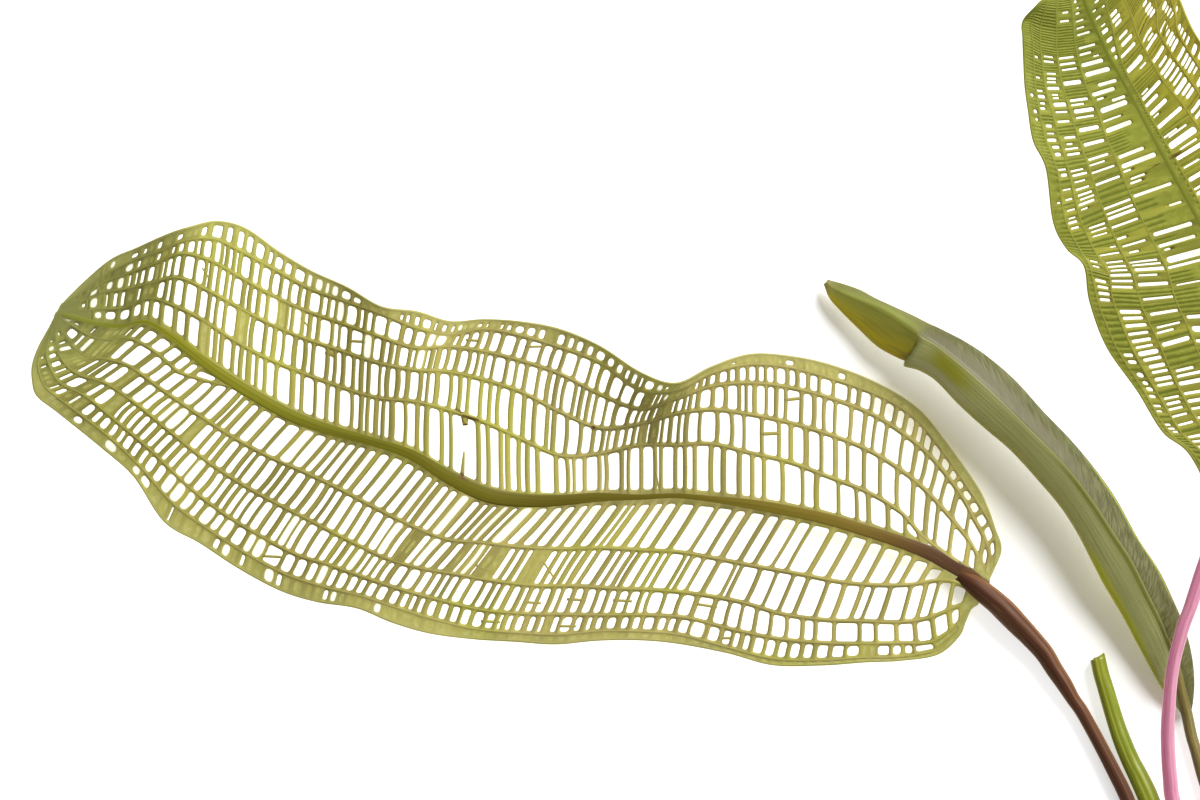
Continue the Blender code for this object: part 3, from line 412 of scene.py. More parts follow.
LARGE_ROWS = (
    Row("margin to fourth upper vein", straight(0), straight(1), tip=(1.6,),
        bars=(103, 109.5, 117, 129.5, 142.5, 151, 157.5, 166.5, 176.5, 188, 194.3, 200.3, 210.8, 225.8,
         235.8, 246, 255.8, 266.3, 273.5, 284.3, 294, 307, 315, 324.5, 331.8, 340.8, 353.5, 363.5, 371, 380,
         389, 398.5, 405.5, 413.3, 422, 433.5, 440, 449.5, 458, 464, 469, 475.5, 485, 492, 497.7, 505,
         514.5, 526.3, 538, 548.3, 556, 566.8, 575.6, 586, 595, 607, 616, 625, 631.5, 637.8, 644, 655.5,
         664, 672, 680, 686, 692, 698, 705, 712, 718, 728.8, 738, 745, 752, 759, 767, 775, 783, 795.5, 804,
         812, 820, 828, 835.5, 846.5, 855, 863, 872, 882, 892, 902),
        closed=(367, 375, 384, 393, 552, 683, 689, 695, 741, 748, 755, 763, 771, 779, *range(800, 840, 8),
         851, 859, 867, 877, 887, 897, 906, 176, 124), veiled=(336, 320, 327, 311, 461, 660, 112),
        bar=2.56, insets=(4.1, 2.82), lean=leaning(0.13)),
    Row("fourth to third upper vein", straight(1), straight(2),
        tip=(0.6, 0.87, 1.17, 1.56, 1.85, 29.45, 30.25, 30.75),
        bars=(104, 109.5, 115, 125, 136, 143.5, 150, 156, 164.5, 170.5, 178, 187, 197, 204, 214.3, 221.8,
         227.5, 234.8, 241, 252, 260.8, 272.8, 281.3, 291, 300.8, 308.3, 321, 329.2, 336.7, 344.8, 358.2,
         366, 374.3, 388.8, 402.9, 414, 426.3, 435.3, 447, 452.8, 460.3, 469, 479.3, 488.5, 501, 516.3,
         526.5, 541.5, 552.8, 562, 576.5, 589.5, 600, 610, 622, 634, 645.5, 651, 656.5, *range(663, 699, 6),
         700, 707, 716, 727.5, 736.8, 747, 756.5, 765.5, 775, 786.5, 796, 808, 819, 833, 848, 858.3, 871,
         883, 895, 905, 914.5, 922.5, 932, 941.5, 949.5, 956.8, 963.5, 970.3, 977.3, 984.8),
        closed=(120, 648, 106), veiled=(130, 218, 340, 431, 441, 666), lean=leaning(0.2)),
    Row("third to second upper vein", straight(2), straight(3), tip=(0.98, 1.28, 1.8, 30),
        bars=(88, 98.5, 106, 115.5, 126, 133.5, 139.8, 147, 156, 161.3, 166.5, 175, 183.3, 196.5, 206,
         211.5, 219.3, 227, 233, 244.5, 251, 258.8, 267.5, 278, 287, 292.5, 302.5, 310, 318.2, 332, 339.8,
         350, 364, 372.8, 383.5, 391, 398, 409.5, 416.5, 424.5, 431.5, 437.8, 446.5, 456.8, 467.8, 476.5,
         484, 493, 505.8, 515.5, 525.3, 537.8, 548.5, 556.2, 564, 574, 580.8, 588, 594.6, 604.6, 615.4,
         629.5, 638, 644.5, 651.5, 658, 664, 669.5, 676.7, 684, 690, 697.8, 712, 724.5, 738.8, 746, 754.8,
         765.8, 776, 785, 801, 813.3, 824.6, 835, 850, 864, 874, 885, 901.3, 913.8, 923, 933, 943.3, 954,
         967, 981), closed=(158, 282), veiled=(93, 110, 120, 273, 297, 368, 420), lean=leaning(0.16)),
    Row("second to first upper vein", straight(3), straight(4), tip=(0.95, 1.4),
        bars=(88, 100, 103, 111, 120, 128.5, 135.5, 143.5, 150, 156.5, 166.5, 173.5, 185.5, 198.5, 209.3,
         217.5, 225.5, 238.3, 246.8, 253, 265.5, 274, 282.8, 295.5, 304.5, 313.5, 327, 334.5, 343, 353.8,
         362, 368.8, 380.5, 388.3, 396.8, 407, 419.8, 427.8, 436.3, 449.8, 459, 468, 481.2, 490, 498.8, 512,
         523.6, 534.5, 547, 553.5, 565.5, 579.5, 592.5, 602, 608.5, 616.5, 625, 634, 640, 645, 651.5, 656,
         662, 670, 679, 686.5, 700, 716.3, 730.5, 743.5, 762, 778.5, 790.7, 805.5, 821, 835, 847, 864, 880,
         897, 912.5, 927, 936, 950.5, 966.5, 976), closed=(242,), veiled=(94,),
        bar=2.32, lean=leaning(0.1)),
    Row("first upper vein to midrib", straight(4), straight(5), tip=(1.55,),
        bars=(92, 103.5, 118.5, 132, 142.5, 151.5, 162, 175.5, 187.5, 201.5, 208.5, 215.5, 222, 233.5, 242,
         249, 257, 265, 277, 292.5, 302, 315, 327.5, 337.5, 351, 361.5, 368, 376.5, 383.5, 391.5, 404.8,
         417.7, 427.3, 441.5, 450.5, 478.3, 488, 501.5, 508.3, 519.7, 528.3, 537.5, 556.5, 567, 574, 585,
         599, 605.5, 621.5, 629, 641, 654.5, 661, 675.5, 684.5, 694.5, 711.3, 723.5, 739.5, 752, 763.7,
         781.7, 802, 817, 838, 856, 868, 887, 905, 921), closed=(205,), veiled=(98,),
        bar=2.44, insets=(2.43, 1), stations=(0, 26.2)),
    Row("midrib to tip vein", straight(5), TIP_VEIN,
        bars=(73, 83.5, 90.5, 98, 105.5, 113, 120, 127, 136, 145, 156.5, 169.5, 181, 190, 199.5, 219,
         232.5), closed=(116, 123), veiled=(66,), bar=2.07, insets=(0.8, 2.3), stations=(0, 7.5)),
    Row("midrib to first lower vein", TIP_VEIN, straight(6),
        bars=(66, 76.5, 83, 91, 96.5, 104, 110, 117, 129, 146, 156, 166, 179, 191, 203, 216.5, 227, 233.7,
         241.7, 251.7, 264, 278.3, 292.3, 306, 318, 327.5, 336.5, 346.7, 356.5, 366.5, 378.5, 390.7, 402,
         412.7, 421.7, 429.2, 438, 447.7, 459.2, 469.5, 478.5, 489.2, 498.5, 508.5, 522.2, 537, 552.2,
         565.7, 578, 592.8, 608, 617, 625.7, 640, 653, 667, 684.5, 705, 723.2, 737.5, 755.2, 769.5, 786.2,
         801.5, 822, 840.5, 859.5, 876, 894.7, 908.8, 926.5, 943), closed=(100,),
        veiled=(299, 452, 494, 514, 86), bar=2.32, insets=(1.92, 2.43), stations=(0, 27.8)),
    Row("first to second lower vein", straight(6), straight(7),
        tip=(0.7, 1.2, 1.65, 2.1, 2.5, 2.75, 3.05, 28.75),
        bars=(84, 94.5, 102, 112, 122.5, 129, 139, 150, 159.5, 166, 173, 182, 190.5, 198, 207, 215.5, 222.5,
         233, 242.5, 249, 258.5, 269.5, 277.5, 286, 297.5, 307.5, 317, 325.5, 334.5, 345.5, 355.5, 365, 376,
         386.5, 396, 404.5, 409.5, 413.5, 422.5, 433, 444.5, 456, 461.5, 469, 477, 484.5, 491, 499, 508.5,
         517.5, 527, 534, 541, 551, 560.5, 569.5, 579, 588.5, 603, 612.5, 623, 630, 642, 652, 660, 676, 683,
         695, 710.5, 728, 734.5, 753, 769.5, 786, 801, 821, 838, 856, 867.5, 885, 906, 921, 934, 951),
        closed=(125, 194, 459, 495, 530, 537), veiled=(168, 177, 391, 427, 473, 64)),
    Row("second to third lower vein", straight(7), straight(8),
        tip=(0.85, 1.35, 1.82, 2.38, 2.95, 3.4, 3.9, 28.6),
        bars=(85.5, 92, 100, 110.5, 120.5, 126.5, 132.5, 139, 146, 153, 160.5, 168.5, 175, 182.5, 191.5,
         200, 208, 217, 225.5, 232.5, 240, 248, 257, 267, 276.5, 285.5, 293, 301, 312.5, 324.5, 334, 342,
         351, 359.5, 366.5, 375, 383.5, 392.5, 404.5, 417.5, 429, 438, 446, 455.5, 467, 478.5, 488.5, 497,
         507, 518, 526.5, 537.5, 549, 559, 571, 582, 594.2, 605.3, 615.4, 627.7, 639.5, 648.3, 662, 679,
         694.3, 713.5, 728, 740.8, 755, 770, 785.3, 801.8, 814.5, 834, 859, 875.5, 896.3, 915, 933, 949),
        closed=(89, 115), veiled=(50, 196, 290, 356)),
    Row("third to fourth lower vein", straight(8), straight(9),
        tip=(1.7, 2.3, 2.8, 3.1, 3.45, 3.8, 4.15, 4.55, 4.78, 5, 28.3),
        bars=(84, 93.5, 102, 110, 117, 124.5, 133, 141, 148, 155.5, 164.5, 173.5, 182.5, 191.5, 202, 212.5,
         221.5, 232, 245, 254, 263.5, 281.5, 294, 306, 317, 327, 336.5, 346.5, 357, 366.5, 377, 389, 400.5,
         409, 417, 427, 438, 449, 460, 472, 484, 496.5, 505, 514.5, 525.5, 536, 544.5, 550, 560, 573.5,
         584.5, 594, 605.5, 618.5, 630, 641.5, 655.5, 667.5, 678, 690.5, 705, 720, 732, 740.5, 751.5, 763.5,
         776, 788.5, 801, 815, 830.5, 846, 861, 868, 876, 891, 902, 914, 935),
        closed=(80, 547, 864, 872, 945), veiled=(169, 178, 187, 208, 226, 249, 259, 322, 697),
        bar=2.44, insets=(2.43, 2.69)),
    Row("fourth lower vein to margin", straight(9), straight(10),
        bars=(64, 73, 83, 93, 104, 116, 127, 133, 141, 150, 160, 168, 174, 183, 192, 201, 212, 221.5, 231,
         238, 246, 254, 264.5, 274.5, 283, 292, 305, 314, 322, 330, 339, 346, 355, 364, 373, 383, 392, 402,
         413, *range(424, 496, 12), *range(495, 855, 12), *range(856, 934, 13), 933),
        closed=(60, 68, 88, 98, 121, 164, 188, 197, 249, 288, 309, 318, 343, 360, 368, 388, 397, 407,
         *range(418, 502, 12), *range(501, 861, 12), *range(862, 940, 13), 130, 155, 178, 207, 235, 259,
         298, 351), veiled=(110, 137, 226, 270, 335, 378), bar=2.68, insets=(2.56, 3.07)),
)

# Threads across windows of the large blade: start and end pixel, then the half widths at both
LARGE_THREADS = (
    (203, 268, 212, 282, 0.8, 0.8), (301, 318, 311, 329, 0.9, 0.9), (348, 341, 366, 342, 1.5, 1.5),
    (326, 351, 337, 356, 3, 3), (466, 340, 481, 341, 1.3, 1.3), (525, 347, 544, 346.5, 1.2, 1.2),
    (784, 400, 803, 398, 1.7, 1.7), (761, 434, 781, 433, 1.9, 1.9), (464.5, 412, 465.5, 425.5, 4.2, 2.6),
    (462, 480, 464.3, 451.5, 2.6, 0.9), (655, 468, 660, 494, 0.9, 0.9), (476, 565, 492, 572, 1.3, 1.3),
    (543, 561, 555, 579, 1, 1), (525, 602, 541, 603, 1.4, 1.4), (567, 599, 586, 600, 1.4, 1.4),
    (613, 600, 632, 601, 1.4, 1.4), (697, 604, 717, 607, 1.4, 1.4), (263, 556, 283, 557, 1.4, 1.4),
    (481, 621, 500, 622, 1.4, 1.4), (559, 626, 576, 626, 1.4, 1.4), (718, 638, 734, 638, 1.4, 1.4),
)


def catmull_rom(knots: Array, travel: Array) -> Array:
    """Values on a smooth curve through knots.

    Each stretch is a cubic with the knots' values at its ends and half the way between a knot's
    neighbours as its slope there.

    Args:
        knots: Values at whole numbers of travel, along the first axis.
        travel: Where to read the curve.

    Returns:
        The values, with the shape of travel first and that of one knot after it.
    """
    padded = np.concatenate([2 * knots[:1] - knots[1:2], knots, 2 * knots[-1:] - knots[-2:-1]])
    index = np.clip(np.floor(travel).astype(int), 0, len(knots) - 2)
    t = (travel - index).reshape(travel.shape + (1,) * (knots.ndim - 1))
    before, start, end, after = (padded[index + step] for step in range(4))
    return 0.5 * (
        2 * start + (end - before) * t + (2 * before - 5 * start + 4 * end - after) * t ** 2
        + (3 * start - before - 3 * end + after) * t ** 3
    )


def to_world(points: Array) -> Array:
    """Metres for points whose last axis holds pixel x, pixel y and millimetres of height."""
    x, y, z = np.moveaxis(points, -1, 0)
    return np.stack([(x - ORIGIN_PIXEL[0]) * PIXEL, (ORIGIN_PIXEL[1] - y) * PIXEL, z * MILLIMETRE], axis=-1)


def unit(vectors: Array) -> Array:
    """The vectors on the last axis at length one."""
    return vectors / np.maximum(np.linalg.norm(vectors, axis=-1, keepdims=True), 1e-12)


def read(pairs: tuple, u: Array) -> Array:
    """Values at station numbers, read straight between station and value pairs."""
    stations, values = zip(*pairs)
    return np.interp(u, stations, values)


def tapered(count: int, ends: float = 0.25) -> Array:
    """Factors along a path that close both of its ends round, as the root of the way from the end.

    Args:
        count: Points of the path.
        ends: The factor at the very ends.

    Returns:
        One factor a point.
    """
    way = np.linspace(0, 1, count)
    reach = np.minimum(way, 1 - way) * count / 3
    return np.clip(np.sqrt(np.clip(reach, 0, 1)), ends, 1)


def ring_quads(numbers: Array) -> Array:
    """Faces between neighbouring rings of points, each ring closed.

    Args:
        numbers: Point numbers, with a ring's points on the last axis and the rings on the one before.

    Returns:
        Four point numbers a face.
    """
    turned = np.roll(numbers, -1, axis=-1)
    corners = (numbers[..., :-1, :], turned[..., :-1, :], turned[..., 1:, :], numbers[..., 1:, :])
    return np.stack(corners, axis=-1).reshape(-1, 4)


def ring_caps(first: Array, last: Array, size: int) -> Array:
    """Fans that close the first and the last ring with the points numbered size and size + 1.

    Args:
        first: Point numbers of the first ring.
        last: Those of the last one.
        size: Number of the point that closes the first ring.

    Returns:
        Three point numbers a face.
    """
    low = np.stack([np.roll(first, -1), first, np.full(len(first), size)], axis=-1)
    high = np.stack([last, np.roll(last, -1), np.full(len(last), size + 1)], axis=-1)
    return np.concatenate([low, high])


def ball_grid(turns: int, rises: int, highest: float) -> tuple:
    """A ball by turn and rise: cosine of rise times cosine and sine of turn, and sine of rise.

    Args:
        turns: Points round it.
        rises: Points from bottom to top.
        highest: The rise of the last ring.

    Returns:
        The turns, the rises and the unit vectors, with the rises on the first axis.
    """
    rise, turn = np.meshgrid(np.linspace(-highest, highest, rises), np.arange(turns) * FULL_TURN / turns,
                             indexing="ij")
    flat = np.cos(rise)
    return turn, rise, np.stack([flat * np.cos(turn), flat * np.sin(turn), np.sin(rise)], axis=-1)


@dataclass
class Piece:
    """Points, faces and point values of one mesh, gathered before it becomes an object.

    Attributes:
        points: Metres, one row a point.
        quads: Four point numbers a face.
        triangles: Three point numbers a face.
        values: Point values by name, for the finishes.
    """

    points: Array
    quads: Array
    triangles: Array = field(default_factory=lambda: np.empty((0, 3), int))
    values: dict = field(default_factory=dict)

    @staticmethod
    def joined(pieces: list) -> "Piece":
        """One piece from several.

        Args:
            pieces: Pieces that carry the same values.

        Returns:
            All their points and faces.
        """
        starts = np.cumsum([0] + [len(piece.points) for piece in pieces])
        return Piece(
            np.concatenate([piece.points for piece in pieces]),
            np.concatenate([piece.quads + start for piece, start in zip(pieces, starts)]),
            np.concatenate([piece.triangles + start for piece, start in zip(pieces, starts)]),
            {name: np.concatenate([piece.values[name] for piece in pieces]) for name in pieces[0].values},
        )

    def welded(self) -> "Piece":
        """The piece with points in one place made one.

        Returns:
            The piece, with faces that lost a side mended or left out.
        """
        keys = np.round(self.points * 1e7).astype(np.int64)
        _, first, inverse = np.unique(keys, axis=0, return_index=True, return_inverse=True)
        inverse = inverse.reshape(-1)
        quads, triangles = inverse[self.quads], inverse[self.triangles]
        same = quads == np.roll(quads, -1, axis=1)
        lost = same.sum(axis=1)
        mended = quads[lost == 1][~same[lost == 1]].reshape(-1, 3)
        triangles = np.concatenate([triangles, mended])
        whole = (triangles != np.roll(triangles, -1, axis=1)).all(axis=1)
        values = {name: value[first] for name, value in self.values.items()}
        return Piece(self.points[first], quads[lost == 0], triangles[whole], values)

    def build(self, name: str, material: bpy.types.Material, node: str, slot: str) -> None:
        """Make the object, ride it on the plant and let it stand for its CAD node.

        Args:
            name: The object's name.
            material: Its finish.
            node: CAD node it takes the place of.
            slot: The record's material slot, not used here.
        """
        mesh = bpy.data.meshes.new(name)
        loops = np.concatenate([self.quads.reshape(-1), self.triangles.reshape(-1)]).astype(np.int32)
        sizes = np.concatenate([np.full(len(self.quads), 4), np.full(len(self.triangles), 3)])
        mesh.vertices.add(len(self.points))
        mesh.vertices.foreach_set("co", self.points.astype(np.float32).reshape(-1))
        mesh.loops.add(len(loops))
        mesh.loops.foreach_set("vertex_index", loops)
        mesh.polygons.add(len(sizes))
        mesh.polygons.foreach_set("loop_start", (np.cumsum(sizes) - sizes).astype(np.int32))
        mesh.update(calc_edges=True)
        for key, value in self.values.items():
            mesh.attributes.new(key, "FLOAT", "POINT").data.foreach_set("value", value.astype(np.float32))
        mesh.shade_smooth()
        mesh.materials.append(material)
        thing = bpy.data.objects.new(name, mesh)
        bpy.context.scene.collection.objects.link(thing)
        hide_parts(node)
        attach(thing, "root")
        count = 2 * len(self.quads) + len(self.triangles)
        LOG.info("%s: %d triangles, %d points", name, count, len(self.points))


def sweep(path: Array, half_width: Array, half_height: Array, sides: int, values: dict,
          up: Array | None = None) -> Piece:
    """An oval profile carried along a path, closed with a point at both ends.

    Each ring is the path's point plus the side vector times the half width and the cosine of the
    angle, plus the up vector times the half height and its sine.

    Args:
        path: Points in metres.
        half_width: Half widths in metres, one a point.
        half_height: Half heights in metres.
        sides: Points round the profile.
        values: Point values by name, one a path point, spread round each ring.
        up: Unit vectors to the profile's top, or nothing for one that stays upright.

    Returns:
        The tube, with the values and the angle as "turn" from 0 to 1.
    """
    tangent = unit(np.gradient(path, axis=0))
    side = unit(np.cross(tangent, UPWARDS if up is None else up))
    up = np.cross(side, tangent) if up is None else up
    angle = np.linspace(0, FULL_TURN, sides, endpoint=False)
    rings = (path[:, None] + side[:, None] * (half_width[:, None] * np.cos(angle))[..., None]
             + up[:, None] * (half_height[:, None] * np.sin(angle))[..., None])
    numbers = np.arange(len(path) * sides).reshape(len(path), sides)
    spread = {name: np.concatenate([np.repeat(value, sides), value[:1], value[-1:]])
              for name, value in values.items()}
    spread["turn"] = np.concatenate([np.tile(angle / FULL_TURN, len(path)), [0.0, 0.0]])
    return Piece(np.concatenate([rings.reshape(-1, 3), path[:1], path[-1:]]), ring_quads(numbers),
                 ring_caps(numbers[0], numbers[-1], numbers.size), spread)


def stained(points: Array) -> Array:
    """How brown each point is: one inside a stain, falling off with its distance in radii.

    Args:
        points: Metres, one row a point.

    Returns:
        Values from 0 to 1.
    """
    place = np.array(ORIGIN_PIXEL) + points[:, :2] / np.array([PIXEL, -PIXEL])
    most = np.zeros(len(points))
    for x0, y0, x1, y1, radius in STAINS:
        start, run = np.array([x0, y0]), np.array([x1 - x0, y1 - y0])
        share = np.clip(((place - start) @ run) / max(float(run @ run), 1e-9), 0, 1)
        apart = np.linalg.norm(place - start - share[:, None] * run, axis=1)
        most = np.maximum(most, np.clip(1.6 - apart / radius, 0, 1))
    return most


@dataclass(frozen=True)
class LeafNet:
    """A blade's surface: long veins through stations, straight between neighbouring veins.

    Attributes:
        knots: Stations by veins by pixel x, pixel y and height.
    """

    knots: Array

    @staticmethod
    def ruffled(stations: tuple, heights: tuple, power: float = 1.6) -> "LeafNet":
        """A net whose height runs from the midrib to both margins by a power of the way across.

        Args:
            stations: Pixels of all long veins, station by station.
            heights: Heights of the first margin, the midrib and the last margin.
            power: How late the height turns to that of the margin.

        Returns:
            The net.
        """
        flat = np.array(stations, float).reshape(len(stations), RAILS, 2)
        first, middle, last = np.array(heights, float)
        steps = np.linalg.norm(flat - flat[:, MIDRIB_RAIL:MIDRIB_RAIL + 1], axis=-1)
        level = np.empty(steps.shape)
        halves = ((slice(0, MIDRIB_RAIL + 1), 0, first), (slice(MIDRIB_RAIL, None), -1, last))
        for columns, margin, edge in halves:
            way = (steps[:, columns] / steps[:, margin][:, None]) ** power
            level[:, columns] = middle[:, None] + (edge - middle)[:, None] * way
        return LeafNet(np.concatenate([flat, level[..., None]], axis=-1))

    @property
    def last(self) -> int:
        """The number of the last station."""
        return len(self.knots) - 1

    def at(self, u: Array, v: Array) -> Array:
        """Pixel x, pixel y and height at places of the blade.

        Args:
            u: Station numbers.
            v: Vein numbers, of the same shape.

        Returns:
            The points, smooth along u and straight along v between two veins.
        """
        rails = catmull_rom(self.knots, u)
        index = np.clip(np.floor(v).astype(int), 0, RAILS - 2)
        share = (v - index)[..., None]
        low = np.take_along_axis(rails, index[..., None, None], axis=-2)[..., 0, :]
        high = np.take_along_axis(rails, index[..., None, None] + 1, axis=-2)[..., 0, :]
        return low * (1 - share) + high * share

    def slopes(self, u: Array, v: Array, step: float) -> tuple:
        """Differences of the surface from a step back to a step on, along the blade and across it."""
        return self.at(u + step, v) - self.at(u - step, v), self.at(u, v + step) - self.at(u, v - step)

    def normal(self, u: Array, v: Array, step: float = 0.03) -> Array:
        """Upward unit normals: the cross product of the slopes in metres.

        Args:
            u: Station numbers.
            v: Vein numbers.
            step: Step that the slopes are read over.

        Returns:
            One vector a place.
        """
        scale = np.array([PIXEL, -PIXEL, MILLIMETRE])
        along, across = self.slopes(u, np.clip(v, step, RAILS - 1 - step), step)
        normals = unit(np.cross(along * scale, across * scale))
        return normals * np.where(normals[..., 2:] < 0, -1, 1)

    def nearest(self, places: Array, u: Array, v: Array) -> tuple:
        """Where photo pixels lie on the surface, looked up on a grid.

        Args:
            places: Pixels, one row a place.
            u: Station numbers of the grid.
            v: Vein numbers of the grid.

        Returns:
            The nearest station numbers, vein numbers and heights.
        """
        u, v = (part.reshape(-1) for part in np.meshgrid(u, v, indexing="ij"))
        sheet = self.at(u, v)
        found = [int(np.argmin(((sheet[:, :2] - place) ** 2).sum(-1))) for place in places]
        return u[found], v[found], sheet[found, 2]

    def vein(self, u: Array, v: Array, half_width: Array, half_height: Array,
             sides: int) -> Piece:
        """A vein lying in the surface, its half widths in pixels and half heights in millimetres."""
        return sweep(to_world(self.at(u, v)), half_width * PIXEL, half_height * MILLIMETRE, sides,
                     self.vein_values(u, v), self.normal(u, v))

    def vein_values(self, u: Array, v: Array) -> dict:
        """Point values of a vein, as the lace finish reads them."""
        none, way = np.zeros(len(u)), u / self.last
        return {"crest": none + 1, "tissue": none, "veil": none, "way": way, "across": v / (RAILS - 1),
                "strand": way, "shade": none + 0.5}


def outline_template() -> Array:
    """One window's outline and its cell's outline, point by point round the cell.

    A window is a rectangle with round corners: each point is a corner's side, from -1 to 1, times
    the half width less the radius, plus the radius times the arc's cosine, and the same along the
    cell. The cell's own outline takes the matching points on its four sides.

    Returns:
        Rows of: side across, arc across, side along, arc along, cell across, cell along.
    """
    rows = []
    for turn in range(4):
        near, next_near = (0.05, 0.13) if turn % 2 else (0.12, 0.30)
        shares = (-1 / 3, 1 / 3) if turn % 2 else ()
        points = [(-1, 225.0, 0.0), (-1, 247.5, near), (-1, 270.0, next_near)]
        points += [(share, 270.0, 0.5 + 0.37 * share) for share in shares]
        points += [(1, 270.0, 1 - next_near), (1, 292.5, 1 - near)]
        for share, degrees, along in points:
            arc = math.radians(degrees + 90 * turn)
            across_side, along_side = ((share, -1), (1, share), (-share, 1), (-1, -share))[turn]
            square = ((along, 0.0), (1.0, along), (1 - along, 1.0), (0.0, 1 - along))[turn]
            rows.append((across_side, math.cos(arc), along_side, math.sin(arc), *square))
    return np.array(rows)


@dataclass
class Cells:
    """The cells of one row.

    Attributes:
        bars: Station numbers of the lines between the cells, on the row's middle line.
        slopes: Stations that each of these lines runs along the row on its way across it.
        kinds: What fills each cell.
        window: First and last place along the cell, then across it, of each window, from 0 to 1.
    """

    bars: Array
    slopes: Array
    kinds: Array
    window: Array

    def are(self, kind: Kind) -> Array:
        """Which cells are of a kind, with two more axes for rings and their points."""
        return (self.kinds == kind.value)[:, None, None]


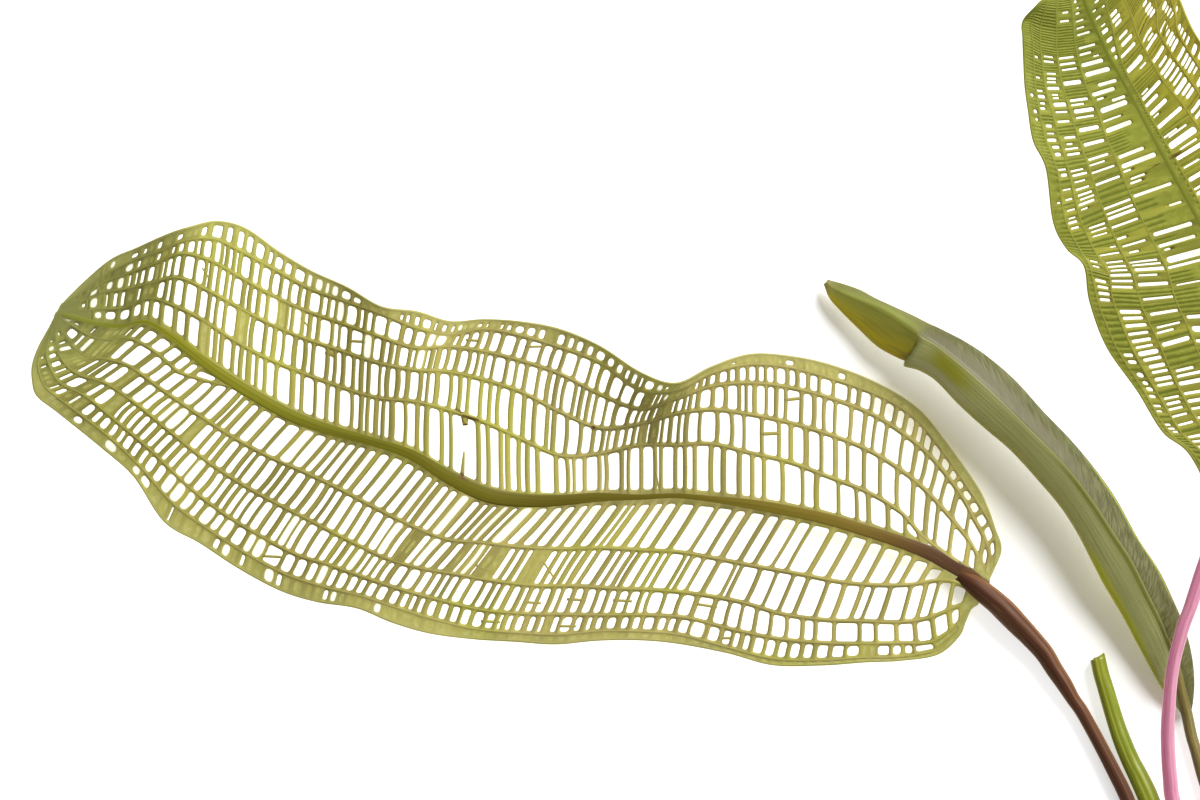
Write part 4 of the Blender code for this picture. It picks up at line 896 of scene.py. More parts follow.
@dataclass(frozen=True)
class LaceBlade:
    """One lace blade: its cells, long veins, threads and midrib.

    Attributes:
        name: Start of its pieces' names.
        net: The blade's surface.
        rows: Its rows of cells.
        midrib: Station and half width pairs of the midrib, in pixels.
        finish: Finish of cells and veins.
        rib_finish: Finish of the midrib.
        threads: Threads across windows.
        tip_vein: Station and vein pairs of an extra vein near the tip.
        bar_height: Half thickness of the cross veins, in millimetres.
        skin_height: Half thickness of the tissue in closed cells, in millimetres.
        thread_height: Half thickness of the threads, in metres.
        shoulder: Distance in pixels over which a vein falls off to a window.
        plain_step: Length in pixels of the plain cells between placed windows.
        shared_gap: Gap in pixels below which two placed windows share the vein between them.
        least_step: Distance in pixels below which a placed window is left out.
    """

    name: str
    net: LeafNet
    rows: tuple
    midrib: tuple
    finish: "LaceFinish"
    rib_finish: "StalkFinish"
    threads: tuple = ()
    tip_vein: tuple = ()
    bar_height: float = 0.20
    skin_height: float = 0.15
    thread_height: float = 0.0002
    shoulder: float = 1.0
    plain_step: float = 9.0
    shared_gap: float = 3.0
    least_step: float = 1.5

    def bar_stations(self, row: Row) -> tuple:
        """Where a row's cross veins are, with closed tissue filled in at both ends.

        Args:
            row: The row.

        Returns:
            Station numbers, and how many plain cells come before the first and after the last vein.
        """
        first, last = row.stations
        u = np.linspace(first, last, 4000)
        x = self.net.at(u, 0.5 * (read(row.top, u) + read(row.bottom, u)))[:, 0]
        low, high = int(np.argmin(x[:2000])), int(np.argmax(x))
        listed = np.interp(row.bars, x[low:high], u[low:high])
        found = np.unique(np.concatenate([np.array(row.tip, float), listed]))
        before = np.linspace(first, found[0], max(2, round((found[0] - first) / 0.45) + 1))
        after = np.linspace(found[-1], last, max(2, round((last - found[-1]) / 0.4) + 1))
        return np.concatenate([before[:-1], found, after[1:]]), len(before) - 1, len(after) - 1

    def spans(self, row: Row, bars: Array, slopes: Array) -> tuple:
        """Size of each cell, measured square to its other sides: its area over their length.

        Args:
            row: The row.
            bars: Station numbers of the lines between the cells.
            slopes: How far each line runs along the row.

        Returns:
            Widths and heights in pixels.
        """
        low, high = read(row.top, bars), read(row.bottom, bars)
        lines = (self.net.at(bars + 0.5 * slopes, high) - self.net.at(bars - 0.5 * slopes, low))[:, :2]
        along = np.diff(self.net.at(bars, 0.5 * (low + high))[:, :2], axis=0)
        across = 0.5 * lines[1:] + 0.5 * lines[:-1]
        area = np.abs(along[:, 0] * across[:, 1] - along[:, 1] * across[:, 0])
        return area / np.linalg.norm(across, axis=1), area / np.linalg.norm(along, axis=1)

    def barred_cells(self, row: Row, rng: np.random.Generator) -> Cells:
        """Cells between the listed cross veins, each with a window as wide as the veins leave it.

        Args:
            row: The row.
            rng: Source of the small differences between veins.

        Returns:
            The cells.
        """
        bars, early, late = self.bar_stations(row)
        slopes = -read(row.lean, bars)
        count = len(bars) - 1
        half_bar = row.bar * rng.uniform(0.78, 1.25, len(bars))
        middle = 0.5 * (bars[:-1] + bars[1:])
        top, bottom = read(row.top, middle), read(row.bottom, middle)
        kinds = np.full(count, Kind.OPEN.value)
        kinds[:early], kinds[count - late:] = Kind.PLAIN.value, Kind.PLAIN.value
        x = self.net.at(middle, 0.5 * (top + bottom))[:, 0]
        for places, kind in ((row.closed, Kind.CLOSED), (row.veiled, Kind.VEILED)):
            for place in places:
                kinds[int(np.argmin(np.abs(x - place)))] = kind.value
        width, height = self.spans(row, bars, slopes)
        rib, tight = read(self.midrib, middle), read(TIGHT_TIP, middle)
        inset_top = row.insets[0] * tight + np.where(top == MIDRIB_RAIL, rib, 0)
        inset_bottom = row.insets[1] * tight + np.where(bottom == MIDRIB_RAIL, rib, 0)
        s0, s1 = half_bar[:-1] * tight / width, 1 - half_bar[1:] * tight / width
        t0, t1 = inset_top / height, 1 - inset_bottom / height
        small = (s1 - s0 < 0.12) | (t1 - t0 < 0.10)
        kinds[small & (kinds == Kind.OPEN.value)] = Kind.CLOSED.value
        sides = ((0.3, s0), (0.7, s1), (0.35, t0), (0.65, t1))
        return Cells(bars, slopes, kinds, np.stack([np.where(small, least, own) for least, own in sides]))

    def placed_cells(self, row: Row, rng: np.random.Generator) -> Cells:
        """Cells round windows given one by one, with closed tissue between them.

        Args:
            row: The row.
            rng: Source of the windows that the photograph doesn't show.

        Returns:
            The cells.
        """
        number = row.top[0][1]
        x, y, length, width = np.array(row.windows, float).reshape(-1, 4).T
        u, v, _ = self.net.nearest(np.stack([x, y], axis=-1), np.linspace(0, self.net.last, 1400),
                                   number + np.linspace(0.06, 0.94, 23))
        step = 0.02
        run, rise = (slope[:, :2] / (2 * step) for slope in self.net.slopes(u, v, step))
        slope = np.zeros(len(u))
        if number < len(UPPER_SLANTS):
            fall = UPPER_SLANT_FALL * np.clip(y - UPPER_SLANT_FROM, 0, UPPER_SLANT_REACH)
            slant = np.radians(UPPER_SLANTS[number] - fall)
            slope = ((np.cos(slant) * rise[:, 1] + np.sin(slant) * rise[:, 0])
                     / (-run[:, 0] * np.sin(slant) - run[:, 1] * np.cos(slant)))
        reach = np.linalg.norm(rise + run * slope[:, None], axis=1)
        pace = np.abs(run[:, 0] * rise[:, 1] - run[:, 1] * rise[:, 0]) / reach
        across = v - number
        parts = np.stack([u - slope * (across - 0.5), across, 0.5 * width / pace, 0.5 * length / reach,
                          slope, pace])
        parts = parts[:, np.argsort(parts[0])]
        return self.ordered(np.concatenate([parts, self.unseen(parts, number, rng)], axis=1), row)

    def unseen(self, parts: Array, number: int, rng: np.random.Generator) -> Array:
        """Windows at uneven steps from the photograph's edge to the blade's base.

        Args:
            parts: The windows that are seen: centre, place across, half width, reach, slope and pace.
            number: The row's number.
            rng: Source of their steps and sizes.

        Returns:
            The same six numbers for each further window.
        """
        u, travel = parts[0, -1], []
        pace = max(float(parts[5, -1]), 20.0)
        while u < self.net.last - 2.0:
            u += rng.uniform(*UPPER_UNSEEN_STEPS) / pace
            if self.net.at(np.array([u]), np.array([number + 0.5]))[0, 0] > PHOTO_WIDTH:
                travel.append(u)
        count = len(travel)
        return np.stack([
            np.array(travel), np.full(count, 0.5), 0.5 * rng.uniform(*UPPER_UNSEEN_WIDTHS, count) / pace,
            rng.uniform(0.22, 0.40, count), parts[4, -1] * np.linspace(1, 0, count), np.full(count, pace),
        ])

    def ordered(self, parts: Array, row: Row) -> Cells:
        """Cells from windows in their order: one round each window, and plain ones in the wide gaps.

        Args:
            parts: Centre, place across, half width, reach, slope and pace of each window.
            row: The row.

        Returns:
            The cells.
        """
        keep = [0]
        for index in range(1, parts.shape[1]):
            if (parts[0, index] - parts[0, keep[-1]]) * parts[5, index] > self.least_step:
                keep.append(index)
        centre, place, half, reach, slope, pace = parts[:, keep]
        gaps = np.concatenate([[9.0], np.diff(centre), [9.0]])
        half = np.minimum(half, 0.42 * np.minimum(gaps[:-1], gaps[1:]))
        reach = np.minimum(reach, 0.46)
        place = np.clip(place, reach + 0.04, 0.96 - reach)
        rim = np.minimum(2.6 / pace, 0.5)
        starts, ends = centre - half - rim, centre + half + rim
        bars, slopes, kinds, windows = [row.stations[0]], [slope[0]], [], []

        def fill(until: float, lean: float) -> None:
            """Add plain cells.

            Args:
                until: Station number that they reach.
                lean: Slope of the last line.
            """
            bar, first_lean, wide = bars[-1], slopes[-1], until - bars[-1]
            number = max(1, round(wide * pace.mean() / self.plain_step))
            for part in range(1, number + 1):
                bars.append(bar + wide * part / number)
                slopes.append(first_lean + (lean - first_lean) * part / number)
                kinds.append(Kind.PLAIN.value)
                windows.append((0.3, 0.7, 0.3, 0.7))

        fill(max(starts[0], row.stations[0] + 0.1), slope[0])
        for index in range(len(centre)):
            last = index == len(centre) - 1
            gap = ((self.net.last if last else starts[index + 1]) - ends[index]) * pace[index]
            before, after, lean = bars[-1], min(ends[index], row.stations[1] - 0.1), slope[index]
            if not last and gap < self.shared_gap:
                after = 0.5 * (centre[index] + half[index] + centre[index + 1] - half[index + 1])
                lean = 0.5 * (slope[index] + slope[index + 1])
            line = (slopes[-1] + (lean - slopes[-1]) * 0.5) * (place[index] - 0.5)
            middle = (centre[index] + slope[index] * (place[index] - 0.5) - line - before) / (after - before)
            share = half[index] / (after - before)
            windows.append((max(0.06, middle - share), min(0.94, middle + share),
                            place[index] - reach[index], place[index] + reach[index]))
            bars.append(after)
            slopes.append(lean)
            kinds.append(Kind.OPEN.value)
            if last:
                fill(row.stations[1], 0.0)
            elif gap >= self.shared_gap:
                fill(starts[index + 1], slope[index + 1])
        return Cells(np.array(bars), np.array(slopes), np.array(kinds), np.array(windows).T)

    def rings(self, cells: Cells, sizes: tuple, rng: np.random.Generator) -> tuple:
        """Four rings of points in each cell: its outline, the vein's shoulder, the window's edge and middle.

        Args:
            cells: The cells.
            sizes: Their widths and heights in pixels.
            rng: Source of the windows' corner radii.

        Returns:
            Places along the cells and across them, from 0 to 1, cells by rings by points.
        """
        s0, s1, t0, t1 = cells.window
        width, height = sizes
        radius = rng.uniform(2.0, 3.2, len(s0))
        radius = np.minimum(radius, 0.46 * np.minimum((s1 - s0) * width, (t1 - t0) * height))
        side_s, arc_s, side_t, arc_t, outer_s, outer_t = outline_template().T
        edges = []
        for low, high, side, arc, size in ((s0, s1, side_s, arc_s, width), (t0, t1, side_t, arc_t, height)):
            curl, middle, half = (
                part[:, None] for part in (radius / size, 0.5 * (low + high), 0.5 * (high - low)))
            edges.append(middle + side * (half - curl) + arc * curl)
        depth = np.hypot((edges[0] - outer_s) * width[:, None], (edges[1] - outer_t) * height[:, None])
        shoulder = np.clip(1 - self.shoulder / np.maximum(depth, 0.1), 0.35, 0.85)
        ways = np.stack([np.zeros_like(depth), shoulder, np.ones_like(depth)], axis=1)
        placed = []
        for outer, edge in zip((outer_s, outer_t), edges):
            middle = np.repeat(edge.mean(1)[:, None, None], edge.shape[1], 2)
            placed.append(np.concatenate([outer + (edge - outer)[:, None] * ways, middle], axis=1))
        return tuple(placed)

    def row_piece(self, row: Row, rng: np.random.Generator) -> Piece:
        """All cells of one row.

        A cell runs between two cross lines, s from 0 to 1, and two long veins, t from 0 to 1. Its
        height falls from the vein's half thickness at the outline to nothing at the window's edge,
        so that both faces meet there.

        Args:
            row: The row.
            rng: Source of the small differences between veins.

        Returns:
            The row's mesh, welded.
        """
        cells = self.placed_cells(row, rng) if row.windows else self.barred_cells(row, rng)
        bars, slopes = cells.bars[:, None, None], cells.slopes[:, None, None]
        bow = rng.normal(0, 0.004 if row.windows else 0.022, len(bars))[:, None, None]
        s, t = self.rings(cells, self.spans(row, cells.bars, cells.slopes), rng)
        curve = 4 * t * (1 - t)
        start, finish = bars[:-1] + bow[:-1] * curve, bars[1:] + bow[1:] * curve
        strand = start + (finish - start) * s
        lean = slopes[:-1] + (slopes[1:] - slopes[:-1]) * s
        u = np.clip(strand + lean * (t - 0.5), *row.stations)
        upper, lower = read(row.top, u), read(row.bottom, u)
        v = upper + (lower - upper) * t
        plain, opened = cells.are(Kind.PLAIN), cells.are(Kind.OPEN)
        skin = np.where(plain, self.bar_height, self.skin_height)
        level = np.concatenate([
            np.full(plain.shape, self.bar_height), np.where(plain, 1.0, 0.92) * self.bar_height,
            np.where(opened, 0.0, skin), skin,
        ], axis=1)
        place, relief = to_world(self.net.at(u, v)), self.net.normal(u, v) * level[..., None] * MILLIMETRE
        numbers = np.arange(2 * s.size).reshape(2, *s.shape)
        quads, fans = [], []
        for grid, order in zip(numbers, (-1, 1)):
            quads.append(ring_quads(grid[:, :3])[:, ::order])
            edge, centre = grid[~opened[:, 0, 0], 2], grid[~opened[:, 0, 0], 3]
            middle = np.repeat(centre[:, :1], edge.shape[1], 1)
            fan = np.stack([edge, np.roll(edge, -1, axis=-1), middle], axis=-1)
            fans.append(fan.reshape(-1, 3)[:, ::order])
        crest = np.where(plain, 1.0, np.array([1.0, 0.75, 0.0, 0.0])[:, None])
        tone = np.where(plain, 0.5, rng.uniform(0, 1, len(plain))[:, None, None])
        values = {
            "crest": crest, "tissue": np.where(plain, 1.0, ~opened * (1 - crest)),
            "veil": cells.are(Kind.VEILED) * (1 - crest), "way": u / self.net.last,
            "across": v / (RAILS - 1), "strand": strand / self.net.last, "shade": tone,
        }
        spread = {name: np.tile(np.broadcast_to(value, s.shape).reshape(-1), 2)
                  for name, value in values.items()}
        points = np.stack([place + relief, place - relief]).reshape(-1, 3)
        LOG.info("row %s: %d cells, %d open", row.name, len(plain), int(opened.sum()))
        return Piece(points, np.concatenate(quads), np.concatenate(fans), spread).welded()

    def thread(self, mark: tuple) -> Piece:
        """A thread of tissue across a window, laid on the blade's surface.

        Args:
            mark: Start and end pixel, then the half widths at both.

        Returns:
            The thread.
        """
        x0, y0, x1, y1, first, last = mark
        way = np.linspace(0, 1, 7)
        flat = np.stack([x0 + (x1 - x0) * way, y0 + (y1 - y0) * way], axis=-1)
        u, v, height = self.net.nearest(flat, np.linspace(0, self.net.last, 620),
                                        np.linspace(0, RAILS - 1, 101))
        half = (first + (last - first) * way) * PIXEL
        return sweep(to_world(np.concatenate([flat, height[:, None]], axis=-1)), half,
                     np.minimum(half, self.thread_height), 10, self.net.vein_values(u, v))

    def long_veins(self) -> list:
        """The long veins, a little wavy in width, and the threads.

        Returns:
            One piece each.
        """
        u = np.linspace(0.0, self.net.last, 500)
        ends = (tapered(len(u), 0.1) * np.clip(0.35 + 0.3 * u, 0, 1)
                * np.clip(0.3 + 0.25 * (self.net.last - u), 0, 1))
        veins = []
        for rail in (1, 2, 3, 4, 6, 7, 8, 9):
            wave = 1.75 + 0.2 * np.sin(u * 2.1 + rail) + 0.12 * np.sin(u * 5.3 + 2 * rail)
            veins.append(self.net.vein(u, np.full(len(u), float(rail)), wave * ends, 0.25 * ends, 8))
        for rail, place in ((0, 0.02), (RAILS - 1, RAILS - 1.02)):
            wave = 1.5 + 0.2 * np.sin(u * 1.7 + rail)
            veins.append(self.net.vein(u, np.full(len(u), place), wave * ends, 0.24 * ends, 8))
        if self.tip_vein:
            short = np.linspace(0.3, 7.7, 130)
            ends = tapered(len(short), 0.2)
            veins.append(self.net.vein(short, read(self.tip_vein, short), 1.5 * ends, 0.24 * ends, 8))
        return veins + [self.thread(mark) for mark in self.threads]

    def rib(self) -> Piece:
        """The midrib: a flattened oval, higher towards the base, that sinks into the petiole.

        Returns:
            The midrib.
        """
        last = self.net.last - 1.0
        u = np.linspace(0.0, last, 260)
        sink = np.clip((last - u) / 2.6, 0, 1) ** 0.6
        own = read(self.midrib, u)
        width = own * tapered(len(u), 0.3) * (0.8 + 0.2 * sink)
        height = (0.18 + 0.016 * own) * tapered(len(u), 0.4) * (0.1 + 0.9 * sink)
        return self.net.vein(u, np.full(len(u), float(MIDRIB_RAIL)), width, height, 16)

    def build(self, effects: "Effects", rng: np.random.Generator) -> None:
        """Make the blade's four objects.

        Args:
            effects: Node groups for the finishes.
            rng: Source of the small differences between veins.
        """
        material = self.finish.build(effects)
        cells = [self.row_piece(row, rng) for row in self.rows]
        veins = self.long_veins()
        for piece in veins:
            del piece.values["turn"]
        half = len(cells) // 2
        for part, pieces, dress in (
            ("first_cells", cells[:half], material), ("second_cells", cells[half:], material),
            ("long_veins", veins, material), ("midrib", [self.rib()], self.rib_finish.build(effects)),
        ):
            piece = Piece.joined(pieces)
            piece.values["stain"] = stained(piece.points)
            piece.build(f"{self.name}_{part}", dress, f"{self.name}_blade", self.name)


@dataclass(frozen=True)
class FoldedBlade:
    """The young leaf's blade, whose halves fall from a ridge to the margins.

    Attributes:
        stations: Pixels of left margin, ridge and right margin, then the heights of the three.
        finish: Its finish.
        bulge: How far both halves bulge, in widths.
        count: Points along it.
        rails: Points across it.
        thickness: Half thickness in metres.
    """

    stations: tuple
    finish: "FoldedFinish"
    bulge: float = 0.05
    count: int = 150
    rails: int = 29
    thickness: float = 0.00035

    def build(self, effects: "Effects") -> None:
        """Make the object: margin and ridge on smooth curves, and a sine for the bulge between them.

        Args:
            effects: Node groups for the finish.
        """
        knots = np.array([[*flat[:2], a, *flat[2:4], b, *flat[4:], c] for *flat, a, b, c in self.stations])
        travel = np.linspace(0, len(knots) - 1, self.count)
        left, ridge, right = catmull_rom(knots, travel).reshape(self.count, 3, 1, 3).swapaxes(0, 1)
        v = np.linspace(-1, 1, self.rails)[:, None]
        bulge = self.bulge * np.sin(math.pi * np.abs(v))
        share = np.abs(v) + bulge * np.array([1, 1, -1])
        place = to_world(ridge + (np.where(v < 0, left, right) - ridge) * share)
        normal = unit(np.cross(np.gradient(place, axis=0), np.gradient(place, axis=1)))
        normal *= np.where(normal[..., 2:] < 0, -1, 1)
        relief = normal * self.thickness * np.clip((1 - np.abs(v)) * 9, 0, 1)
        shape = (2, self.count, self.rails)
        numbers = np.arange(math.prod(shape)).reshape(shape)
        quads = []
        for grid, order in zip(numbers, (1, -1)):
            quad = np.stack([grid[:-1, :-1], grid[1:, :-1], grid[1:, 1:], grid[:-1, 1:]], axis=-1)
            quads.append(quad.reshape(-1, 4)[:, ::order])
        for end, order in ((0, 1), (-1, -1)):
            first, second = numbers[:, end]
            quads.append(np.stack([first[:-1], first[1:], second[1:], second[:-1]], axis=-1)[:, ::order])
        values = {
            "way": np.broadcast_to((travel / travel[-1])[:, None], shape).reshape(-1),
            "across": np.broadcast_to((v[:, 0] + 1) / 2, shape).reshape(-1),
        }
        points = np.stack([place + relief, place - relief]).reshape(-1, 3)
        piece = Piece(points, np.concatenate(quads), values=values).welded()
        piece.build("folded_leaf", self.finish.build(effects), "folded_leaf_blade", "folded_leaf")


def tube(route: tuple, points: int, sides: int, torn: float = 0.0) -> Piece:
    """A round tube along a smooth curve through a route, its far end torn by sines of the angle.

    Args:
        route: Pixel x, pixel y, height and radius in millimetres at each knot.
        points: Points along it.
        sides: Points round it.
        torn: How far the far end is torn, in millimetres; its right side stands out most.

    Returns:
        The tube, with "way" from 0 at the far end to 1 at the corm.
    """
    travel = np.linspace(0, len(route) - 1, points)
    values = catmull_rom(np.array(route, float), travel)
    path, ends = to_world(values[:, :3]), tapered(points)
    if torn:
        ends[:points // 2] = 1.0
    radius = values[:, 3] * MILLIMETRE * ends
    piece = sweep(path, radius, radius, sides, {"way": travel / travel[-1]})
    angle = np.linspace(0, FULL_TURN, sides, endpoint=False)
    reach = 0.5 - 0.5 * np.cos(angle) + 0.10 * np.sin(4 * angle) + 0.06 * np.sin(9 * angle)
    piece.points[:sides] -= unit(path[1] - path[0]) * (torn * MILLIMETRE * reach)[:, None]
    return piece


@dataclass(frozen=True)
class Stalk:
    """A petiole or another stalk.

    Attributes:
        name: Its piece's name.
        route: Pixel x, pixel y, height and radius in millimetres at each knot.
        node: The CAD node it stands for.
        slot: Name of its material slot, passed on but not used.
        finish: Its finish.
        torn: How far the far end is torn, in millimetres; its right side stands out most.
        points: Points along it.
        sides: Points round it.
    """

    name: str
    route: tuple
    node: str
    slot: str
    finish: "StalkFinish"
    torn: float = 0.0
    points: int = 180
    sides: int = 36

    def build(self, effects: "Effects") -> None:
        """Make the object, with a finish that uses the effects."""
        piece = tube(self.route, self.points, self.sides, self.torn)
        piece.build(self.name, self.finish.build(effects), self.node, self.slot)


@dataclass(frozen=True)
class FlowerSpikes:
    """The flower spikes: each a core with small flowers in close turns round it.

    Attributes:
        routes: Pixel x, pixel y, height and radius in millimetres at each knot of each spike.
        finish: Their finish.
        count: Number of flowers on each.
        turn: Angle from one flower to the next.
        size: Half width of a flower in metres.
        tall: Its height over its width.
        sunk: Its distance from the axis over the spike's radius.
    """

    routes: tuple
    finish: "PlainFinish"
    count: int = 210
    turn: float = 2.39996
    size: float = 0.00055
    tall: float = 1.5
    sunk: float = 0.86

    def spike(self, route: tuple) -> Piece:
        """One spike: each flower is a ball, stretched along a line that leans to the spike's end.

        Args:
            route: Its knots.

        Returns:
            Core and flowers.
        """
        core, knots = tube(route, 60, 12), np.array(route, float)
        travel = np.linspace(0.35, len(knots) - 1.05, self.count)
        values = catmull_rom(knots, travel)
        before, after = (to_world(catmull_rom(knots, travel + step)[:, :3]) for step in (-0.05, 0.05))
        tangent = unit(after - before)
        side = unit(np.cross(tangent, UPWARDS))
        angle = (np.arange(self.count) * self.turn)[:, None]
        out = side * np.cos(angle) + np.cross(side, tangent) * np.sin(angle)
        spread, lean = np.cross(out, tangent), unit(out + 0.5 * tangent)
        centre = to_world(values[:, :3]) + out * (values[:, 3] * self.sunk * MILLIMETRE)[:, None]
        axes = np.stack([spread, np.cross(lean, spread), lean * self.tall], axis=1) * self.size
        flower = centre[:, None, None] + np.einsum("rtk,nkc->nrtc", ball_grid(8, 5, 1.3)[2], axes)
        numbers = np.arange(flower[..., 0].size).reshape(flower.shape[:-1])
        flowers = Piece(flower.reshape(-1, 3), ring_quads(numbers)[:, ::-1])
        return Piece.joined([Piece(core.points, core.quads, core.triangles), flowers])

    def build(self, effects: "Effects") -> None:
        """Make the spikes' objects.

        Args:
            effects: Node groups for the finish.
        """
        material = self.finish.build(effects)
        for number, route in enumerate(self.routes, start=1):
            self.spike(route).build(f"flower_florets_{number}", material, f"flower_spike_{number}", "flower")


@dataclass(frozen=True)
class Corm:
    """The corm and its roots.

    Attributes:
        pixel: Its middle as pixel x and pixel y.
        radii: Its half sizes in metres.
        lift: Height of its middle in metres.
        roots: Number of roots.
        first_turn: Azimuth of the first root in degrees.
        step: Angle between two roots in degrees.
        fall: Elevation at which they leave it, in degrees.
        lengths: Lengths of the outer and the middle roots in metres.
        root_radii: Their radii at both ends in metres.
        wobble: How far they wander to the side, in metres.
        root_points: Points along a root.
    """

    pixel: tuple = (1290.0, 1010.0)
    radii: tuple = (0.0125, 0.0105, 0.0090)
    lift: float = 0.0085
    roots: int = 10
    first_turn: float = 198.0
    step: float = 16.0
    fall: float = -32.0
    lengths: tuple = (0.038, 0.053)
    root_radii: tuple = (0.0008, 0.0003)
    wobble: float = 0.0042
    root_points: int = 60

    @property
    def centre(self) -> Array:
        """Its middle in metres."""
        return to_world(np.array([*self.pixel, self.lift / MILLIMETRE]))

    def body(self) -> Piece:
        """An ellipsoid times sines of its angles for the knobs, cut flat where it rests.

        Returns:
            The corm.
        """
        turn, rise, ball = ball_grid(72, 41, 1.5)
        knobs = 1 + 0.03 * np.sin(5 * turn + 2 * rise) * np.cos(4 * rise)
        knobs += 0.015 * np.sin(11 * turn - 7 * rise)
        place = self.centre + ball * np.array(self.radii) * knobs[..., None]
        place[..., 2] = np.maximum(place[..., 2], 0.0)
        numbers = np.arange(turn.size).reshape(turn.shape)
        points = np.concatenate([place.reshape(-1, 3), place[:1].mean(1), place[-1:].mean(1)])
        return Piece(points, ring_quads(numbers), ring_caps(numbers[0], numbers[-1], numbers.size))

    def root(self, number: int) -> Piece:
        """A root: it falls by the fifth power of the way left and wanders aside by a sine.

        Args:
            number: Its number, from 0.

        Returns:
            The root.
        """
        rise, turn = math.radians(self.fall), math.radians(self.first_turn + number * self.step)
        outwards = np.array([math.cos(turn), math.sin(turn), 0.0])
        sideways = np.array([-math.sin(turn), math.cos(turn), 0.0])
        ray = outwards * math.cos(rise) + UPWARDS * math.sin(rise)
        start = self.centre + ray * np.array(self.radii) * 0.93
        shortest, longest = self.lengths
        length = shortest + (longest - shortest) * math.sin(math.pi * number / (self.roots - 1))
        way = np.linspace(0, 1, self.root_points)
        radius = self.root_radii[0] + (self.root_radii[1] - self.root_radii[0]) * way
        wave = self.wobble * way * np.sin(2.2 * number + 5.5 * way)
        path = start + outwards * (length * way)[:, None] + sideways * wave[:, None]
        path[:, 2] = radius + (start[2] - radius) * (1 - way) ** 5
        girth = radius * tapered(self.root_points)
        return sweep(path, girth, girth, 10, {"way": way})

    def build(self, effects: "Effects") -> None:
        """Make the corm's and the roots' objects.

        Args:
            effects: Node groups for the finishes.
        """
        self.body().build("corm_body", CORM_FINISH.build(effects), "corm", "corm")
        material = ROOT_FINISH.build(effects)
        for number in range(self.roots):
            self.root(number).build(f"root_strand_{number + 1}", material, f"root_{number + 1}", "root")


